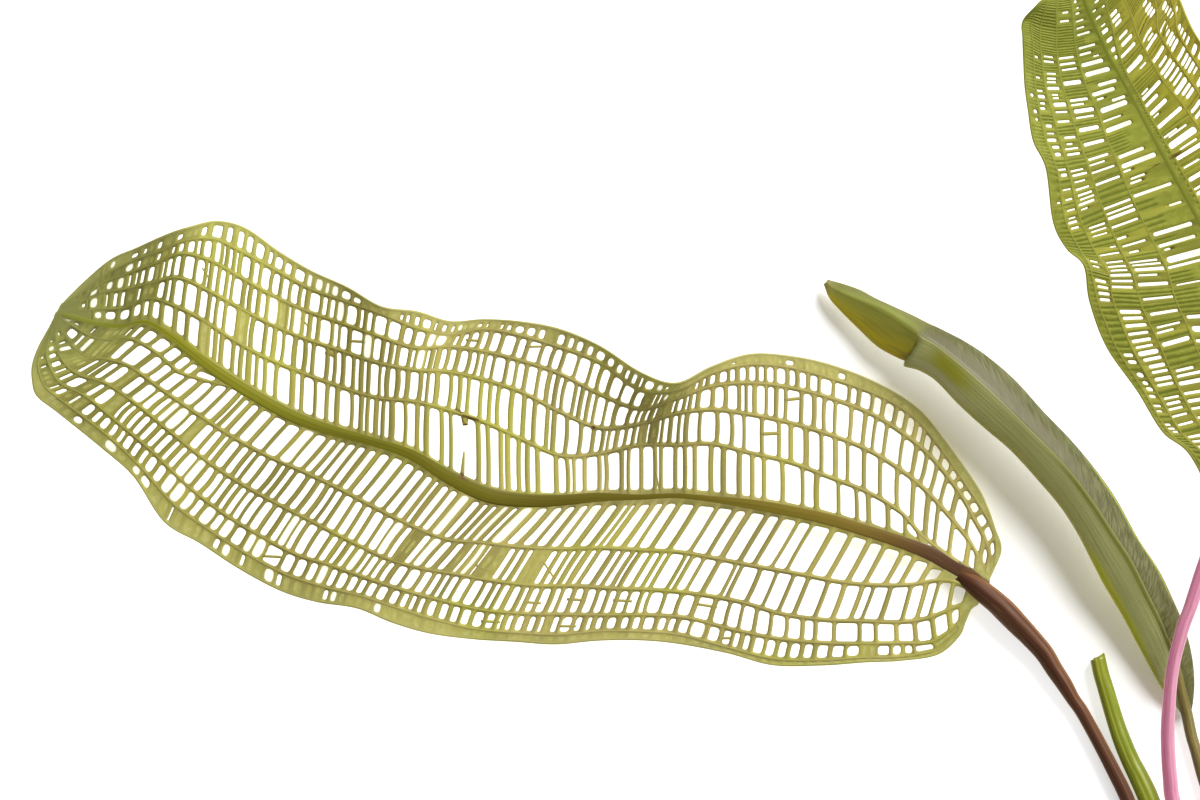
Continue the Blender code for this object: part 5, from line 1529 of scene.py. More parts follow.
class Desk:
    """Adds nodes to one tree and joins them."""

    def __init__(self, tree: bpy.types.NodeTree) -> None:
        """Keep the tree that the nodes go into."""
        self.tree = tree

    def put(self, socket: Socket, value: Signal) -> None:
        """Join a socket to another, or write a constant on it.

        Args:
            socket: The socket that takes it.
            value: Another socket, a number or a colour.
        """
        if isinstance(value, Socket):
            self.tree.links.new(value, socket)
        elif isinstance(value, tuple) and len(value) == 3 and socket.type == "RGBA":
            socket.default_value = (*value, 1.0)
        else:
            socket.default_value = value

    def add(self, kind: str, inputs: dict, **settings: object) -> bpy.types.bpy_prop_collection:
        """A node with its settings and inputs made.

        Args:
            kind: The node's type.
            inputs: What goes into its sockets, by their names or numbers.
            **settings: Its properties.

        Returns:
            Its outputs.
        """
        made = self.tree.nodes.new(kind)
        for key, value in settings.items():
            setattr(made, key, value)
        for key, value in inputs.items():
            self.put(made.inputs[key], value)
        return made.outputs

    def effect(self, tree: bpy.types.NodeTree, **values: Signal) -> bpy.types.bpy_prop_collection:
        """A shared effect placed here with its own values, as its outputs."""
        inputs = {key.capitalize(): value for key, value in values.items()}
        return self.add("ShaderNodeGroup", inputs, node_tree=tree)

    def value(self, name: str) -> Socket:
        """A point value of the mesh."""
        return self.add("ShaderNodeAttribute", {}, attribute_name=name)["Fac"]

    def mix(self, share: Signal, first: Signal, second: Signal, blend: str = "MIX") -> Socket:
        """One colour into another."""
        inputs = {0: share, 6: first, 7: second}
        return self.add("ShaderNodeMix", inputs, data_type="RGBA", blend_type=blend)[2]

    def reckon(self, rule: str, first: Signal, second: Signal = 0.0) -> Socket:
        """Two numbers worked together by the name of a rule."""
        return self.add("ShaderNodeMath", {0: first, 1: second}, operation=rule)[0]

    def times(self, first: Signal, second: Signal) -> Socket:
        """One number times another."""
        return self.reckon("MULTIPLY", first, second)

    def span(self, value: Signal, low: float, high: float, start: float = 0.0,
             end: float = 1.0) -> Socket:
        """A value's place between two others, eased, from start to end."""
        return self.add("ShaderNodeMapRange", dict(enumerate((value, low, high, start, end))),
                        interpolation_type="SMOOTHSTEP")[0]

    def window(self, value: Signal, low: float, high: float, soft: float) -> Socket:
        """One between two values and nothing outside them, with soft ends."""
        fall = self.span(value, high - soft, high + soft, 1.0, 0.0)
        return self.times(self.span(value, low - soft, low + soft), fall)

    def ramp(self, value: Signal, stops: tuple) -> Socket:
        """Colours along a value.

        Args:
            value: The value, from 0 to 1.
            stops: Place and colour pairs.

        Returns:
            The colour.
        """
        made = self.tree.nodes.new("ShaderNodeValToRGB")
        elements = made.color_ramp.elements
        while len(elements) < len(stops):
            elements.new(1.0)
        for element, (place, colour) in zip(elements, stops):
            element.position = place
            element.color = (*colour, 1.0)
        self.put(made.inputs["Fac"], value)
        return made.outputs["Color"]

    def join(self, *parts: Signal) -> Socket:
        """A vector from its numbers."""
        return self.add("ShaderNodeCombineXYZ", dict(enumerate(parts)))[0]

    def noise(self, scale: Signal, vector: Signal | None = None) -> Socket:
        """Soft noise from 0 to 1, on object coordinates unless a vector is given."""
        place = self.add("ShaderNodeTexCoord", {})["Object"] if vector is None else vector
        return self.add("ShaderNodeTexNoise", {"Vector": place, "Scale": scale, "Detail": 3.0})["Fac"]

    def bump(self, height: Signal, strength: Signal, distance: Signal,
             **under: Signal) -> Socket:
        """A normal raised by a height, on top of another where Normal is given."""
        inputs = {**under, "Strength": strength, "Distance": distance, "Height": height}
        return self.add("ShaderNodeBump", inputs)["Normal"]

    def blend(self, share: Signal, first: Signal, second: Signal) -> Socket:
        """One shader into another."""
        return self.add("ShaderNodeMixShader", {0: share, 1: first, 2: second})[0]

    def surface(self, output: Socket, inputs: dict, through: Signal | None = None,
                share: float = 0.0, lift: float = 0.0, glow: tuple = (1.0, 1.0, 1.0)) -> None:
        """The surface shader, with a share of light let through where a colour for it is given.

        Args:
            output: The material's surface socket.
            inputs: What goes into the shader, by its sockets' names.
            through: Colour of the light that shines through, or nothing.
            share: How much does.
            lift: How much of its shadow is lit by light that comes through it.
            glow: Colour of that light.
        """
        solid = self.add("ShaderNodeBsdfPrincipled", inputs)[0]
        if through is not None:
            solid = self.blend(share, solid, self.add("ShaderNodeBsdfTranslucent", {"Color": through})[0])
        if lift:
            clear = self.add("ShaderNodeBsdfTransparent", {"Color": glow})[0]
            shadow = self.add("ShaderNodeLightPath", {})["Is Shadow Ray"]
            solid = self.blend(self.times(shadow, lift), solid, clear)
        self.put(output, solid)


def new_material(name: str) -> tuple:
    """An empty node material.

    Args:
        name: The material's name.

    Returns:
        The material, its desk and its surface socket.
    """
    material = bpy.data.materials.new(name)
    material.use_nodes = True
    material.node_tree.nodes.clear()
    output = material.node_tree.nodes.new("ShaderNodeOutputMaterial")
    return material, Desk(material.node_tree), output.inputs["Surface"]


def new_effect(name: str, inputs: tuple, outputs: dict) -> tuple:
    """An empty node group with named sockets.

    Args:
        name: The group's name.
        inputs: Names of the numbers that it takes.
        outputs: Socket kinds of what it gives out, by name.

    Returns:
        The group, its desk, its input node's sockets and its output node's sockets.
    """
    tree = bpy.data.node_groups.new(name, "ShaderNodeTree")
    for socket in inputs:
        tree.interface.new_socket(socket, in_out="INPUT", socket_type="NodeSocketFloat")
    for socket, kind in outputs.items():
        tree.interface.new_socket(socket, in_out="OUTPUT", socket_type=kind)
    given, wanted = tree.nodes.new("NodeGroupInput"), tree.nodes.new("NodeGroupOutput")
    return tree, Desk(tree), given.outputs, wanted.inputs


def streak_effect() -> bpy.types.NodeTree:
    """Streaks that run along a blade: noise on the way along and on the place across.

    Returns:
        The group.
    """
    tree, desk, given, wanted = new_effect(
        "lengthwise streaks", ("Along", "Across", "Length", "Fineness"), {"Mask": "NodeSocketFloat"})
    along = desk.times(given["Along"], given["Length"])
    across = desk.times(given["Across"], given["Fineness"])
    desk.put(wanted["Mask"], desk.noise(1.0, desk.join(along, across)))
    return tree


def ring_effect() -> bpy.types.NodeTree:
    """Streaks along a round stalk: noise on the way along and on a circle, so that they close round it.

    Returns:
        The group.
    """
    tree, desk, given, wanted = new_effect(
        "stalk streaks", ("Along", "Turn", "Length", "Fineness"), {"Mask": "NodeSocketFloat"})
    wheel = desk.times(given["Turn"], FULL_TURN)
    circle = [desk.times(desk.reckon(rule, wheel), given["Fineness"]) for rule in ("COSINE", "SINE")]
    along = desk.times(given["Along"], given["Length"])
    desk.put(wanted["Mask"], desk.noise(1.0, desk.join(along, *circle)))
    return tree


def grain_effect() -> bpy.types.NodeTree:
    """The fine cells of a leaf's skin: noise on object coordinates, as a mask and as relief.

    Returns:
        The group.
    """
    tree, desk, given, wanted = new_effect(
        "skin grain", ("Scale", "Strength", "Depth"),
        {"Mask": "NodeSocketFloat", "Normal": "NodeSocketVector"})
    fine = desk.noise(given["Scale"])
    desk.put(wanted["Mask"], fine)
    desk.put(wanted["Normal"], desk.bump(fine, given["Strength"], given["Depth"]))
    return tree


@dataclass(frozen=True)
class Effects:
    """The node groups that several finishes use.

    Attributes:
        streaks: Streaks along a flat blade.
        rings: Streaks along a round stalk.
        grain: The fine grain of the skin.
    """

    streaks: bpy.types.NodeTree
    rings: bpy.types.NodeTree
    grain: bpy.types.NodeTree


# Colour of the brown stains
STAIN_COLOUR = (0.110, 0.045, 0.014)


def browned(desk: Desk, colour: Signal) -> Socket:
    """A colour with the brown stains laid over it."""
    return desk.mix(desk.span(desk.value("stain"), 0.15, 0.85, 0.0, 0.85), colour, STAIN_COLOUR)


@dataclass(frozen=True)
class LaceFinish:
    """The finish of a lace blade: cross veins, tissue and veils.

    Attributes:
        name: The material's name.
        veins: Colours of the veins' crests, as pairs of way along the blade and colour.
        rim: How much of the colour is left at the windows' edges: painted shade of the veins' rounded sides,
            along with their own deeper colour.
        patch: Colour that broad patches are tinted with.
        skin: Colour of closed cells.
        spot: Colour of the spots in them.
        veil: Colour of the thin skins.
        tissue_from: Way along the blade at which closed cells turn pale.
        stripes: How often the cross stripes of closed tissue follow each other, and how strong they are.
        stripe: Colour of these stripes.
        ridges: How many fine cross ridges closed tissue has along the blade.
        margin: How pale both margins are.
        warm: What the colour is multiplied by towards the first margin.
        warmth: How much.
    """

    name: str
    veins: tuple
    rim: tuple
    patch: tuple
    skin: tuple
    spot: tuple
    veil: tuple
    tissue_from: tuple
    stripes: tuple = (0.0, 0.0)
    stripe: tuple = (0.2, 0.2, 0.05)
    ridges: float = 0.0
    margin: float = 0.0
    warm: tuple = (1.0, 1.0, 1.0)
    warmth: float = 0.0

    def build(self, effects: Effects) -> bpy.types.Material:
        """The node material: a thin leaf that lets part of the light through.

        Args:
            effects: The shared node groups.

        Returns:
            The material.
        """
        material, desk, surface = new_material(self.name)
        way, crest, across, strand = (desk.value(name) for name in ("way", "crest", "across", "strand"))
        body = desk.ramp(way, self.veins)
        body = desk.mix(desk.span(desk.noise(38.0), 0.48, 0.68, 0.0, 0.7), body, self.patch)
        shade = desk.span(desk.value("shade"), 0.0, 1.0, 0.84, 1.12)
        body = desk.mix(1.0, body, desk.join(shade, shade, shade), "MULTIPLY")
        # Painted shade: the veins turn darker and more saturated towards the windows' edges, as on their
        # rounded sides.
        rim = desk.mix(1.0, body, self.rim, "MULTIPLY")
        body = desk.mix(desk.span(crest, 0.75, 0.0, 0.0, 0.75), body, rim)
        grain = desk.effect(effects.grain, scale=620.0, strength=0.2, depth=0.0003)
        tissue = desk.times(desk.value("tissue"), desk.span(way, *self.tissue_from))
        skin = desk.mix(desk.span(grain["Mask"], 0.42, 0.62), self.skin, self.spot)
        often, strength = self.stripes
        bands = desk.effect(effects.streaks, along=strand, across=across, length=often, fineness=5.0)["Mask"]
        skin = desk.mix(desk.span(bands, 0.44, 0.60, 0.0, strength), skin, self.stripe)
        aside = desk.reckon("ABSOLUTE", desk.reckon("SUBTRACT", across, 0.5))
        normal = grain["Normal"]
        if self.ridges:
            turn = desk.reckon("ADD", desk.times(strand, FULL_TURN * self.ridges), desk.times(bands, 6.0))
            ridge = desk.times(desk.reckon("SINE", turn), tissue)
            ridge = desk.times(ridge, desk.span(aside, 0.045, 0.07))
            ridge = desk.times(ridge, desk.span(aside, 0.38, 0.46, 1.0, 0.4))
            skin = desk.mix(desk.span(ridge, -0.1, -0.9, 0.0, 0.4), skin, self.spot)
            skin = desk.mix(desk.span(ridge, 0.1, 0.8, 0.0, 0.85), skin, self.stripe)
            normal = desk.bump(ridge, 0.55, -0.00012, Normal=normal)
        body = desk.mix(desk.span(aside, 0.36, 0.49, 0.0, self.margin), body, self.spot)
        colour = desk.mix(desk.span(tissue, 0.1, 0.8, 0.0, 0.9), body, skin)
        colour = desk.mix(desk.span(across, 0.50, 0.22, 0.0, self.warmth), colour, self.warm, "MULTIPLY")
        veil = desk.span(desk.value("veil"), 0.15, 0.75)
        colour = browned(desk, desk.mix(veil, colour, self.veil))
        inputs = {"Base Color": colour, "Roughness": 0.6, "Specular IOR Level": 0.2, "Normal": normal,
                  "Alpha": desk.span(veil, 0.0, 1.0, 1.0, 0.42)}
        desk.surface(surface, inputs, through=colour, share=0.45, lift=0.93)
        return material


@dataclass(frozen=True)
class StalkFinish:
    """The finish of a stalk or midrib: a main colour with lengthwise streaks.

    Attributes:
        name: The material's name.
        body: Main colours, as pairs of way along it and colour.
        streak: Colour of the dark streaks.
        light: Colour of the light streaks.
        roughness: Surface roughness.
        amounts: How strong the dark and the light streaks are.
        length: How often the streaks change along the stalk.
        bands: Colours from the stalk's left side over its top to its right side, as place and colour:
            painted shade and painted highlights round it.
        band_share: How much these cover the main colour.
        sheen: Strength of its sheen.
        soft: Share of the light that goes through it.
    """

    name: str
    body: tuple
    streak: tuple
    light: tuple
    roughness: float
    amounts: tuple = (0.7, 0.6)
    length: float = 7.0
    bands: tuple = ((0.0, (0.5, 0.5, 0.5)), (1.0, (0.5, 0.5, 0.5)))
    band_share: float = 0.0
    sheen: float = 0.3
    soft: float = 0.12

    def build(self, effects: Effects) -> bpy.types.Material:
        """The node material, with streaks that follow the stalk.

        Args:
            effects: The shared node groups.

        Returns:
            The material.
        """
        material, desk, surface = new_material(self.name)
        way, turn = desk.value("way"), desk.value("turn")
        streaks, fine = (
            desk.effect(effects.rings, along=way, turn=turn, length=length, fineness=fineness)["Mask"]
            for length, fineness in ((self.length, 2.6), (self.length * 5.0, 8.0)))
        dark, pale = self.amounts
        # Painted shade and painted highlights round the stalk: the bands' colours, read from its left side
        # over its top to its right side.
        cosine = desk.reckon("COSINE", desk.times(turn, FULL_TURN))
        aspect = desk.reckon("ADD", desk.times(cosine, -0.5), 0.5)
        body = desk.mix(self.band_share, desk.ramp(way, self.body), desk.ramp(aspect, self.bands))
        body = desk.mix(desk.span(streaks, 0.50, 0.64, 0.0, dark), body, self.streak)
        body = desk.mix(desk.span(streaks, 0.46, 0.34, 0.0, pale), body, self.light)
        body = desk.mix(desk.span(fine, 0.50, 0.66, 0.0, 0.6 * dark), body, self.streak)
        body = browned(desk, body)
        inputs = {"Base Color": body, "Roughness": self.roughness, "Specular IOR Level": self.sheen,
                  "Normal": desk.bump(fine, 0.15, 0.0003)}
        desk.surface(surface, inputs, through=body, share=self.soft, lift=0.72)
        return material


@dataclass(frozen=True)
class PlainFinish:
    """A mottled matt finish.

    Attributes:
        name: The material's name.
        first: Main colour.
        second: Colour of the mottling.
        scale: Size of the mottling, as noise scale.
        roughness: Surface roughness.
        relief: Height of the relief in metres.
    """

    name: str
    first: tuple
    second: tuple
    scale: float
    roughness: float
    relief: float

    def build(self, effects: Effects) -> bpy.types.Material:
        """The node material.

        Args:
            effects: The shared node groups.

        Returns:
            The material.
        """
        material, desk, surface = new_material(self.name)
        grain = desk.effect(effects.grain, scale=self.scale, strength=0.6, depth=self.relief)
        colour = desk.mix(desk.span(grain["Mask"], 0.38, 0.62), self.first, self.second)
        desk.surface(surface, {"Base Color": colour, "Roughness": self.roughness, "Specular IOR Level": 0.3,
                               "Normal": grain["Normal"]})
        return material


@dataclass(frozen=True)
class Patch:
    """A soft-edged patch of the folded blade.

    Attributes:
        tint: Name of its colour in the finish.
        along: First place, last place and softness along the blade.
        across: The same across it.
        share: How much it covers.
        straight: Whether its ends run straight across the blade.
        lined: Whether fine lines break it up.
    """

    tint: str
    along: tuple
    across: tuple
    share: float
    straight: bool = False
    lined: bool = False


@dataclass(frozen=True)
class FoldedFinish:
    """The folded blade's finish, patch by patch between its two margins.

    Attributes:
        left: Colour of the face to the left of the ridge, and of its fine lines; painted lighter, as painted
            light against the shade that this face lies in.
        right: The same to the right of the ridge; painted much darker, as painted shade against the lamp
            that lights this face.
        tip: Colours of the yellow tip, at its margin and towards the ridge.
        shaded: Colour of the tip's streaks.
        point: Colour of its very end.
        bloom_and_sheen: The pale bloom beside the ridge, with a painted sheen along the ridge.
        glow: The bright green where light comes through.
        edge: The bright lower edge.
        dusk: The grey face just past the ridge.
        line: The dark line beside the ridge, also used for a painted shadow just past the end of the tip's
            fold.
        stain: The brown end of the tip's fold.
        through: Colour of the light that the blade lets through.
        shadow: Colour of the light in its shadow.
        patches: Patches under the tip.
        late_patches: Patches over the tip.
    """

    # The two faces' colours offset the lamp: the left one is painted lighter in its shade, the right one is
    # painted darker where the lamp falls.
    left: tuple = ((0.255, 0.290, 0.115), (0.350, 0.390, 0.180))
    right: tuple = ((0.040, 0.048, 0.017), (0.105, 0.112, 0.052))
    tip: tuple = ((0.360, 0.310, 0.016), (0.165, 0.195, 0.040))
    shaded: tuple = (0.1188, 0.1404, 0.0288)
    point: tuple = (0.22, 0.20, 0.08)
    bloom_and_sheen: tuple = (0.46, 0.44, 0.40)
    glow: tuple = (0.230, 0.250, 0.010)
    edge: tuple = (0.400, 0.450, 0.035)
    dusk: tuple = (0.100, 0.095, 0.065)
    line: tuple = (0.090, 0.110, 0.020)
    stain: tuple = (0.150, 0.110, 0.030)
    through: tuple = (0.85, 0.72, 0.12)
    shadow: tuple = (1.0, 0.90, 0.02)
    patches: tuple = (
        Patch("dusk", (0.33, 0.62, 0.05), (0.50, 0.74, 0.05), 0.6),
        # A painted sheen: pale streaks along the ridge.
        Patch("bloom_and_sheen", (0.25, 0.50, 0.05), (0.485, 0.53, 0.025), 0.35, lined=True),
        Patch("bloom_and_sheen", (0.36, 0.47, 0.03), (0.03, 0.22, 0.07), 0.3),
        Patch("glow", (0.38, 0.46, 0.03), (0.22, 0.46, 0.08), 0.9),
        Patch("edge", (0.70, 0.84, 0.03), (-1.0, 0.13, 0.05), 0.95),
        Patch("edge", (0.78, 1.2, 0.10), (-1.0, 0.06, 0.05), 0.7),
        Patch("edge", (0.62, 0.79, 0.03), (0.91, 0.94, 0.015), 0.7, straight=True),
        Patch("line", (0.60, 0.92, 0.04), (0.435, 0.490, 0.02), 0.9, straight=True),
    )
    late_patches: tuple = (
        Patch("stain", (0.225, 0.268, 0.012), (-1.0, 0.14, 0.06), 0.7, straight=True),
        # A painted shadow: the dark patch that the curled tip's fold would cast on the face just past its
        # end.
        Patch("line", (0.268, 0.335, 0.015), (0.10, 0.46, 0.06), 0.8),
        Patch("line", (0.28, 0.66, 0.03), (-1.0, 0.012, 0.012), 0.6, straight=True),
    )

    def build(self, effects: Effects) -> bpy.types.Material:
        """The node material: every patch is a window in the way along the blade times one across it.

        Args:
            effects: The shared node groups.

        Returns:
            The material.
        """
        material, desk, surface = new_material("folded blade")
        way, across = desk.value("way"), desk.value("across")
        slant = desk.reckon("ADD", way, desk.times(across, 0.12))
        feathers = desk.reckon("SUBTRACT", way, desk.times(across, 0.16))
        lines, broad, hatch, veins = (
            desk.effect(effects.streaks, along=along, across=across, length=often, fineness=fine)["Mask"]
            for along, often, fine in (
                (way, 5.0, 70.0), (way, 9.0, 12.0), (slant, 330.0, 6.0), (feathers, 150.0, 3.0)))
        shift = desk.times(desk.reckon("SUBTRACT", desk.noise(120.0), 0.5), 0.035)
        place = desk.reckon("ADD", way, shift)
        side = desk.span(across, 0.490, 0.510)

        def patched(body: Signal, patches: tuple) -> Signal:
            """The colour with patches laid over it.

            Args:
                body: The colour under them.
                patches: The patches in their order.

            Returns:
                The colour.
            """
            for patch in patches:
                along = desk.window(way if patch.straight else place, *patch.along)
                cover = desk.times(desk.times(along, desk.window(across, *patch.across)), patch.share)
                if patch.lined:
                    cover = desk.times(cover, desk.span(lines, 0.36, 0.58, 0.25, 1.0))
                body = desk.mix(cover, body, getattr(self, patch.tint))
            return body

        left = desk.mix(desk.span(lines, 0.40, 0.62), *self.left)
        feathered = desk.times(desk.span(veins, 0.50, 0.58), desk.span(way, 0.55, 0.85, 0.0, 0.5))
        left = desk.mix(feathered, left, self.left[1])
        right = desk.mix(desk.span(hatch, 0.44, 0.58), *self.right)
        body = patched(desk.mix(side, left, right), self.patches)
        tip = desk.mix(desk.span(across, 0.10, 0.45), *self.tip)
        tip = desk.mix(desk.span(broad, 0.48, 0.62, 0.0, 0.5), tip, self.shaded)
        tip = desk.mix(desk.span(across, 0.60, 0.80, 0.0, 0.6), tip, self.right[1])
        tip = desk.mix(desk.span(way, 0.05, 0.01, 0.0, 0.7), tip, self.point)
        reach = desk.mix(side, desk.span(way, 0.277, 0.262), desk.span(place, 0.36, 0.17))
        body = patched(desk.mix(reach, body, tip), self.late_patches)
        normal = desk.bump(desk.mix(side, lines, hatch), 0.4, 0.0004)
        inputs = {"Base Color": body, "Roughness": 0.5, "Specular IOR Level": 0.25, "Normal": normal}
        desk.surface(surface, inputs, through=self.through, share=0.25, lift=0.27, glow=self.shadow)
        return material


# The veins' colour at 0.53 of the way is painted lighter: painted light against the shade that the lamp
# leaves on the hump's slopes there.
LARGE_FINISH = LaceFinish(
    "large lace",
    veins=((0.0, (0.25, 0.255, 0.080)), (0.09, (0.30, 0.295, 0.080)), (0.20, (0.355, 0.328, 0.082)),
           (0.42, (0.345, 0.305, 0.092)), (0.53, (0.430, 0.385, 0.140)), (0.64, (0.385, 0.340, 0.112)),
           (0.78, (0.395, 0.350, 0.118)), (0.90, (0.460, 0.410, 0.140)),
           (1.0, (0.42, 0.37, 0.13))),
    rim=(0.76, 0.76, 0.62), patch=(0.39, 0.38, 0.07), skin=(0.41, 0.395, 0.125), spot=(0.48, 0.47, 0.19),
    margin=0.4, veil=(0.88, 0.88, 0.80), tissue_from=(0.05, 0.12), stripes=(150.0, 0.25),
    stripe=(0.48, 0.46, 0.13),
)
UPPER_FINISH = LaceFinish(
    "upper lace",
    veins=((0.0, (0.24, 0.27, 0.038)), (0.5, (0.31, 0.31, 0.048)), (1.0, (0.34, 0.32, 0.065))),
    rim=(0.86, 0.78, 0.60), patch=(0.22, 0.245, 0.024), skin=(0.265, 0.285, 0.038),
    spot=(0.32, 0.335, 0.055), veil=(0.60, 0.64, 0.40), tissue_from=(0.0, 0.01), stripes=(55.0, 0.35),
    stripe=(0.135, 0.16, 0.014),
    ridges=160.0, warm=(1.56, 1.35, 1.5), warmth=1.0,
)
MIDRIB_FINISH = StalkFinish(
    "large midrib",
    body=((0.0, (0.16, 0.18, 0.03)), (0.15, (0.24, 0.24, 0.012)), (0.34, (0.135, 0.130, 0.004)),
          (0.52, (0.100, 0.082, 0.003)), (0.70, (0.160, 0.122, 0.010)), (0.76, (0.155, 0.105, 0.012)),
          (0.80, (0.125, 0.070, 0.014)), (0.84, (0.085, 0.036, 0.016)), (0.89, (0.066, 0.025, 0.013))),
    streak=(0.08, 0.060, 0.005), light=(0.22, 0.19, 0.03), roughness=0.5, amounts=(0.35, 0.12), sheen=0.2,
)
UPPER_RIB_FINISH = StalkFinish(
    "upper midrib",
    body=((0.0, (0.12, 0.145, 0.008)), (0.6, (0.15, 0.155, 0.014)), (1.0, (0.20, 0.16, 0.03))),
    streak=(0.10, 0.12, 0.008), light=(0.24, 0.26, 0.04), roughness=0.55, amounts=(0.35, 0.2), sheen=0.15,
)
# The petiole's bands paint pale highlights on both of its rims.
PETIOLE_FINISH = StalkFinish(
    "large petiole",
    body=((0.0, (0.070, 0.028, 0.013)), (0.35, (0.11, 0.047, 0.022)), (1.0, (0.15, 0.07, 0.040))),
    streak=(0.040, 0.014, 0.007), light=(0.22, 0.115, 0.055), roughness=0.5, amounts=(0.6, 0.35), length=5.0,
    bands=((0.0, (0.27, 0.14, 0.05)), (0.09, (0.125, 0.052, 0.020)), (0.40, (0.060, 0.022, 0.010)),
           (0.85, (0.100, 0.040, 0.016)), (1.0, (0.24, 0.12, 0.045))), band_share=0.75, sheen=0.12,
)
# The olive stalks' bands paint shade down both sides, lighter over the top.
OLIVE_FINISH = StalkFinish(
    "olive petiole",
    body=((0.0, (0.19, 0.17, 0.045)), (0.25, (0.16, 0.13, 0.035)), (1.0, (0.14, 0.09, 0.035))),
    streak=(0.09, 0.07, 0.02), light=(0.26, 0.22, 0.08), roughness=0.42, amounts=(0.5, 0.4),
    bands=((0.0, (0.12, 0.09, 0.03)), (0.35, (0.20, 0.16, 0.045)), (0.65, (0.17, 0.13, 0.035)),
           (1.0, (0.10, 0.07, 0.02))), band_share=0.5,
)
# The pink stalk's bands paint cream highlights on both rims and its right side lighter than the left.
PINK_FINISH = StalkFinish(
    "pink stalk",
    body=((0.0, (0.60, 0.29, 0.40)), (0.5, (0.58, 0.25, 0.37)), (1.0, (0.55, 0.27, 0.36))),
    streak=(0.40, 0.14, 0.20), light=(0.74, 0.48, 0.52), roughness=0.45, amounts=(0.4, 0.35), length=5.0,
    bands=((0.0, (0.86, 0.64, 0.62)), (0.07, (0.64, 0.27, 0.40)), (0.45, (0.60, 0.23, 0.35)),
           (0.60, (0.66, 0.32, 0.43)), (0.93, (0.68, 0.35, 0.46)), (1.0, (0.84, 0.68, 0.64))),
    band_share=0.75, soft=0.4,
)
# The cut stalk's bands paint a pale highlight strip left of its top, and painted shade down its right side.
CUT_FINISH = StalkFinish(
    "cut stalk",
    body=((0.0, (0.24, 0.21, 0.015)), (0.3, (0.21, 0.245, 0.010)), (1.0, (0.15, 0.185, 0.010))),
    streak=(0.11, 0.13, 0.006), light=(0.33, 0.36, 0.03), roughness=0.34, amounts=(0.4, 0.3), length=5.0,
    bands=((0.0, (0.28, 0.32, 0.010)), (0.30, (0.27, 0.30, 0.008)), (0.38, (0.42, 0.44, 0.10)),
           (0.46, (0.17, 0.20, 0.006)), (1.0, (0.11, 0.145, 0.004))), band_share=0.7,
)
CORM_FINISH = PlainFinish("corm skin", (0.14, 0.08, 0.04), (0.05, 0.028, 0.016), 260.0, 0.8, 0.0012)
ROOT_FINISH = PlainFinish("root skin", (0.58, 0.50, 0.36), (0.42, 0.33, 0.20), 400.0, 0.7, 0.0003)
FLOWER_FINISH = PlainFinish("flower skin", (0.80, 0.62, 0.68), (0.66, 0.40, 0.52), 900.0, 0.6, 0.0002)


@dataclass(frozen=True)
class Plant:
    """The whole plant, from the large blade to the roots.

    Attributes:
        seed: Start of the random draws.
    """

    seed: int = 7

    def blades(self) -> tuple:
        """The two lace blades, with every size read off the photograph.

        Returns:
            The large blade and the upper one.
        """
        large = LaceBlade("lace_leaf", LeafNet.ruffled(LARGE_STATIONS, LARGE_HEIGHTS), LARGE_ROWS,
                          LARGE_MIDRIB_WIDTHS, LARGE_FINISH, MIDRIB_FINISH, LARGE_THREADS, TIP_VEIN)
        net = LeafNet.ruffled(UPPER_STATIONS, UPPER_HEIGHTS)
        rows = tuple(
            Row(f"upper blade row {number + 1}", straight(number), straight(number + 1),
                stations=(0.0, float(net.last)), windows=windows)
            for number, windows in enumerate(UPPER_WINDOWS))
        upper = LaceBlade("upper_leaf", net, rows, UPPER_MIDRIB_WIDTHS, UPPER_FINISH, UPPER_RIB_FINISH)
        return large, upper

    def stalks(self) -> tuple:
        """The petioles, the flower stalk and the cut stalk.

        Returns:
            The five stalks.
        """
        return (
            Stalk("lace_leaf_petiole", LARGE_STALK, "lace_leaf_stalk", "brown_stalk", PETIOLE_FINISH),
            Stalk("upper_leaf_petiole", UPPER_STALK, "upper_leaf_stalk", "olive_stalk", OLIVE_FINISH),
            Stalk("folded_leaf_petiole", FOLDED_STALK, "folded_leaf_stalk", "olive_stalk", OLIVE_FINISH),
            Stalk("pink_flower_stalk", FLOWER_STALK, "flower_stalk", "pink_stalk", PINK_FINISH),
            Stalk("green_cut_stalk", CUT_STALK, "cut_stalk", "green_stalk", CUT_FINISH, torn=CUT_TORN),
        )

    def build(self) -> None:
        """Make every object of the plant."""
        rng = np.random.default_rng(self.seed)
        effects = Effects(streak_effect(), ring_effect(), grain_effect())
        for blade in self.blades():
            blade.build(effects, rng)
        for part in (
            FoldedBlade(FOLDED_STATIONS, FoldedFinish()), *self.stalks(),
            FlowerSpikes(FLOWER_SPIKES, FLOWER_FINISH), Corm(),
        ):
            part.build(effects)


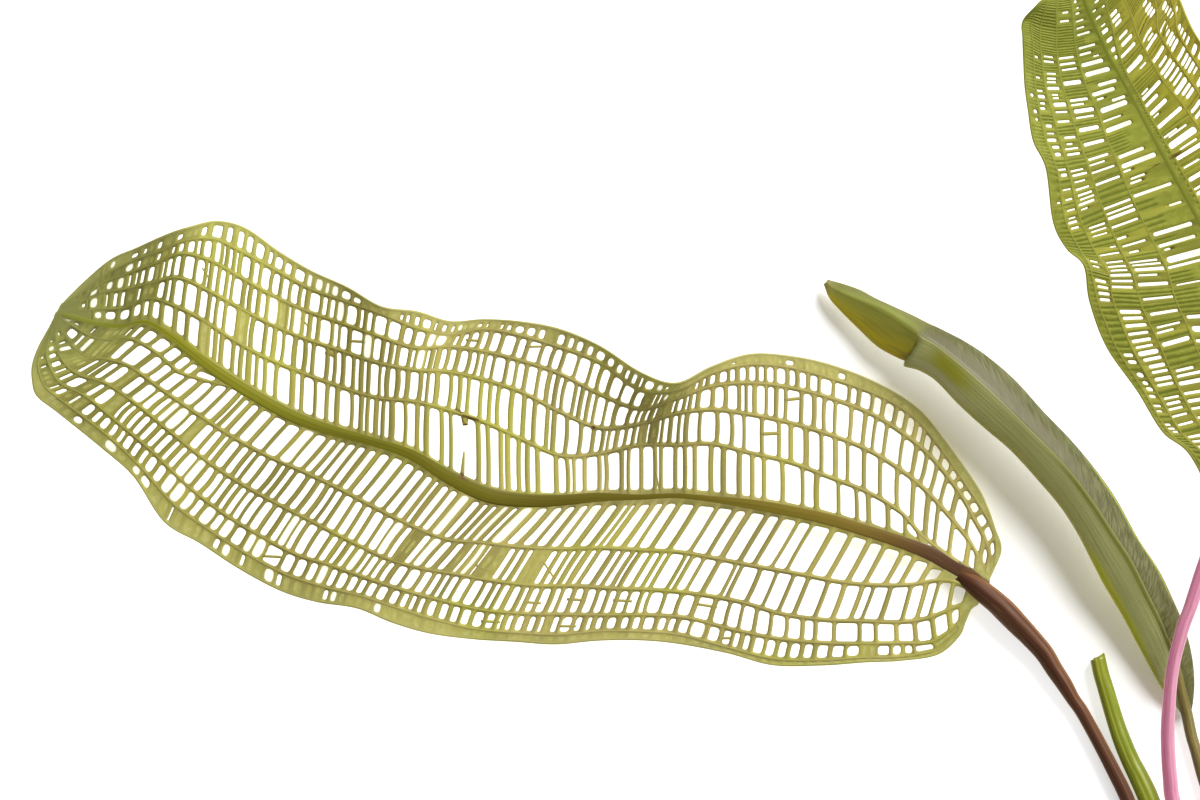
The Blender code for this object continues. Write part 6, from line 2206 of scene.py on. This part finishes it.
@dataclass(frozen=True)
class Studio:
    """The floor, the lights and the camera.

    Attributes:
        lens: Focal length in millimetres.
        sensor: Width of the sensor in millimetres.
        clip: Nearest and farthest distance that is seen, in metres.
    """

    lens: float = 400.0
    sensor: float = 36.0
    clip: tuple = (0.01, 20.0)

    @staticmethod
    def place(name: str, data: bpy.types.ID) -> bpy.types.Object:
        """An object of the studio, linked to the scene.

        Args:
            name: The object's name.
            data: Its mesh, lamp or camera.

        Returns:
            The object.
        """
        thing = bpy.data.objects.new(name, data)
        bpy.context.scene.collection.objects.link(thing)
        return thing

    def floor(self) -> None:
        """A plain near-white sheet that fades out of sight."""
        material, desk, surface = new_material("studio floor")
        desk.surface(surface, {
            "Base Color": FLOOR_COLOUR, "Roughness": 0.9, "Specular IOR Level": 0.0,
            "Emission Color": (1.0, 1.0, 1.0), "Emission Strength": FLOOR_GLOW,
        })
        mesh = bpy.data.meshes.new("studio_floor")
        corners = [(x * FLOOR_REACH, y * FLOOR_REACH, -FLOOR_DROP)
                   for x, y in ((-1, -1), (1, -1), (1, 1), (-1, 1))]
        mesh.from_pydata(corners, [], [(0, 1, 2, 3)])
        mesh.materials.append(material)
        self.place("studio_floor", mesh)

    def lights(self) -> None:
        """An even white sky and one wide soft lamp from the upper right."""
        world = bpy.data.worlds.new("studio sky")
        world.use_nodes = True
        background = world.node_tree.nodes["Background"]
        background.inputs["Color"].default_value = (1.0, 1.0, 1.0, 1.0)
        background.inputs["Strength"].default_value = SKY_STRENGTH
        bpy.context.scene.world = world
        lamp = bpy.data.lights.new("studio key", "SUN")
        lamp.energy = KEY_STRENGTH
        lamp.angle = math.radians(KEY_SPREAD)
        key = self.place("studio_key", lamp)
        key.rotation_euler = (0.0, math.radians(90 - KEY_ELEVATION), math.radians(KEY_AZIMUTH))

    def camera(self) -> None:
        """A long lens straight above the middle of the photograph."""
        data = bpy.data.cameras.new("camera")
        data.lens = self.lens
        data.sensor_width = self.sensor
        data.clip_start, data.clip_end = self.clip
        camera = self.place("camera", data)
        distance = PHOTO_WIDTH * PIXEL * self.lens / self.sensor
        camera.location = (*to_world(np.array([*PHOTO_CENTRE, 0.0]))[:2], distance)
        bpy.context.scene.camera = camera
        bpy.context.scene.view_settings.view_transform = "Standard"

    def build(self) -> None:
        """Floor, lights and camera."""
        self.floor()
        self.lights()
        self.camera()


def main() -> None:
    """Build the plant and its studio."""
    logging.basicConfig(level=logging.INFO, format="%(message)s")
    Plant().build()
    Studio().build()


if __name__ == "__main__":
    main()
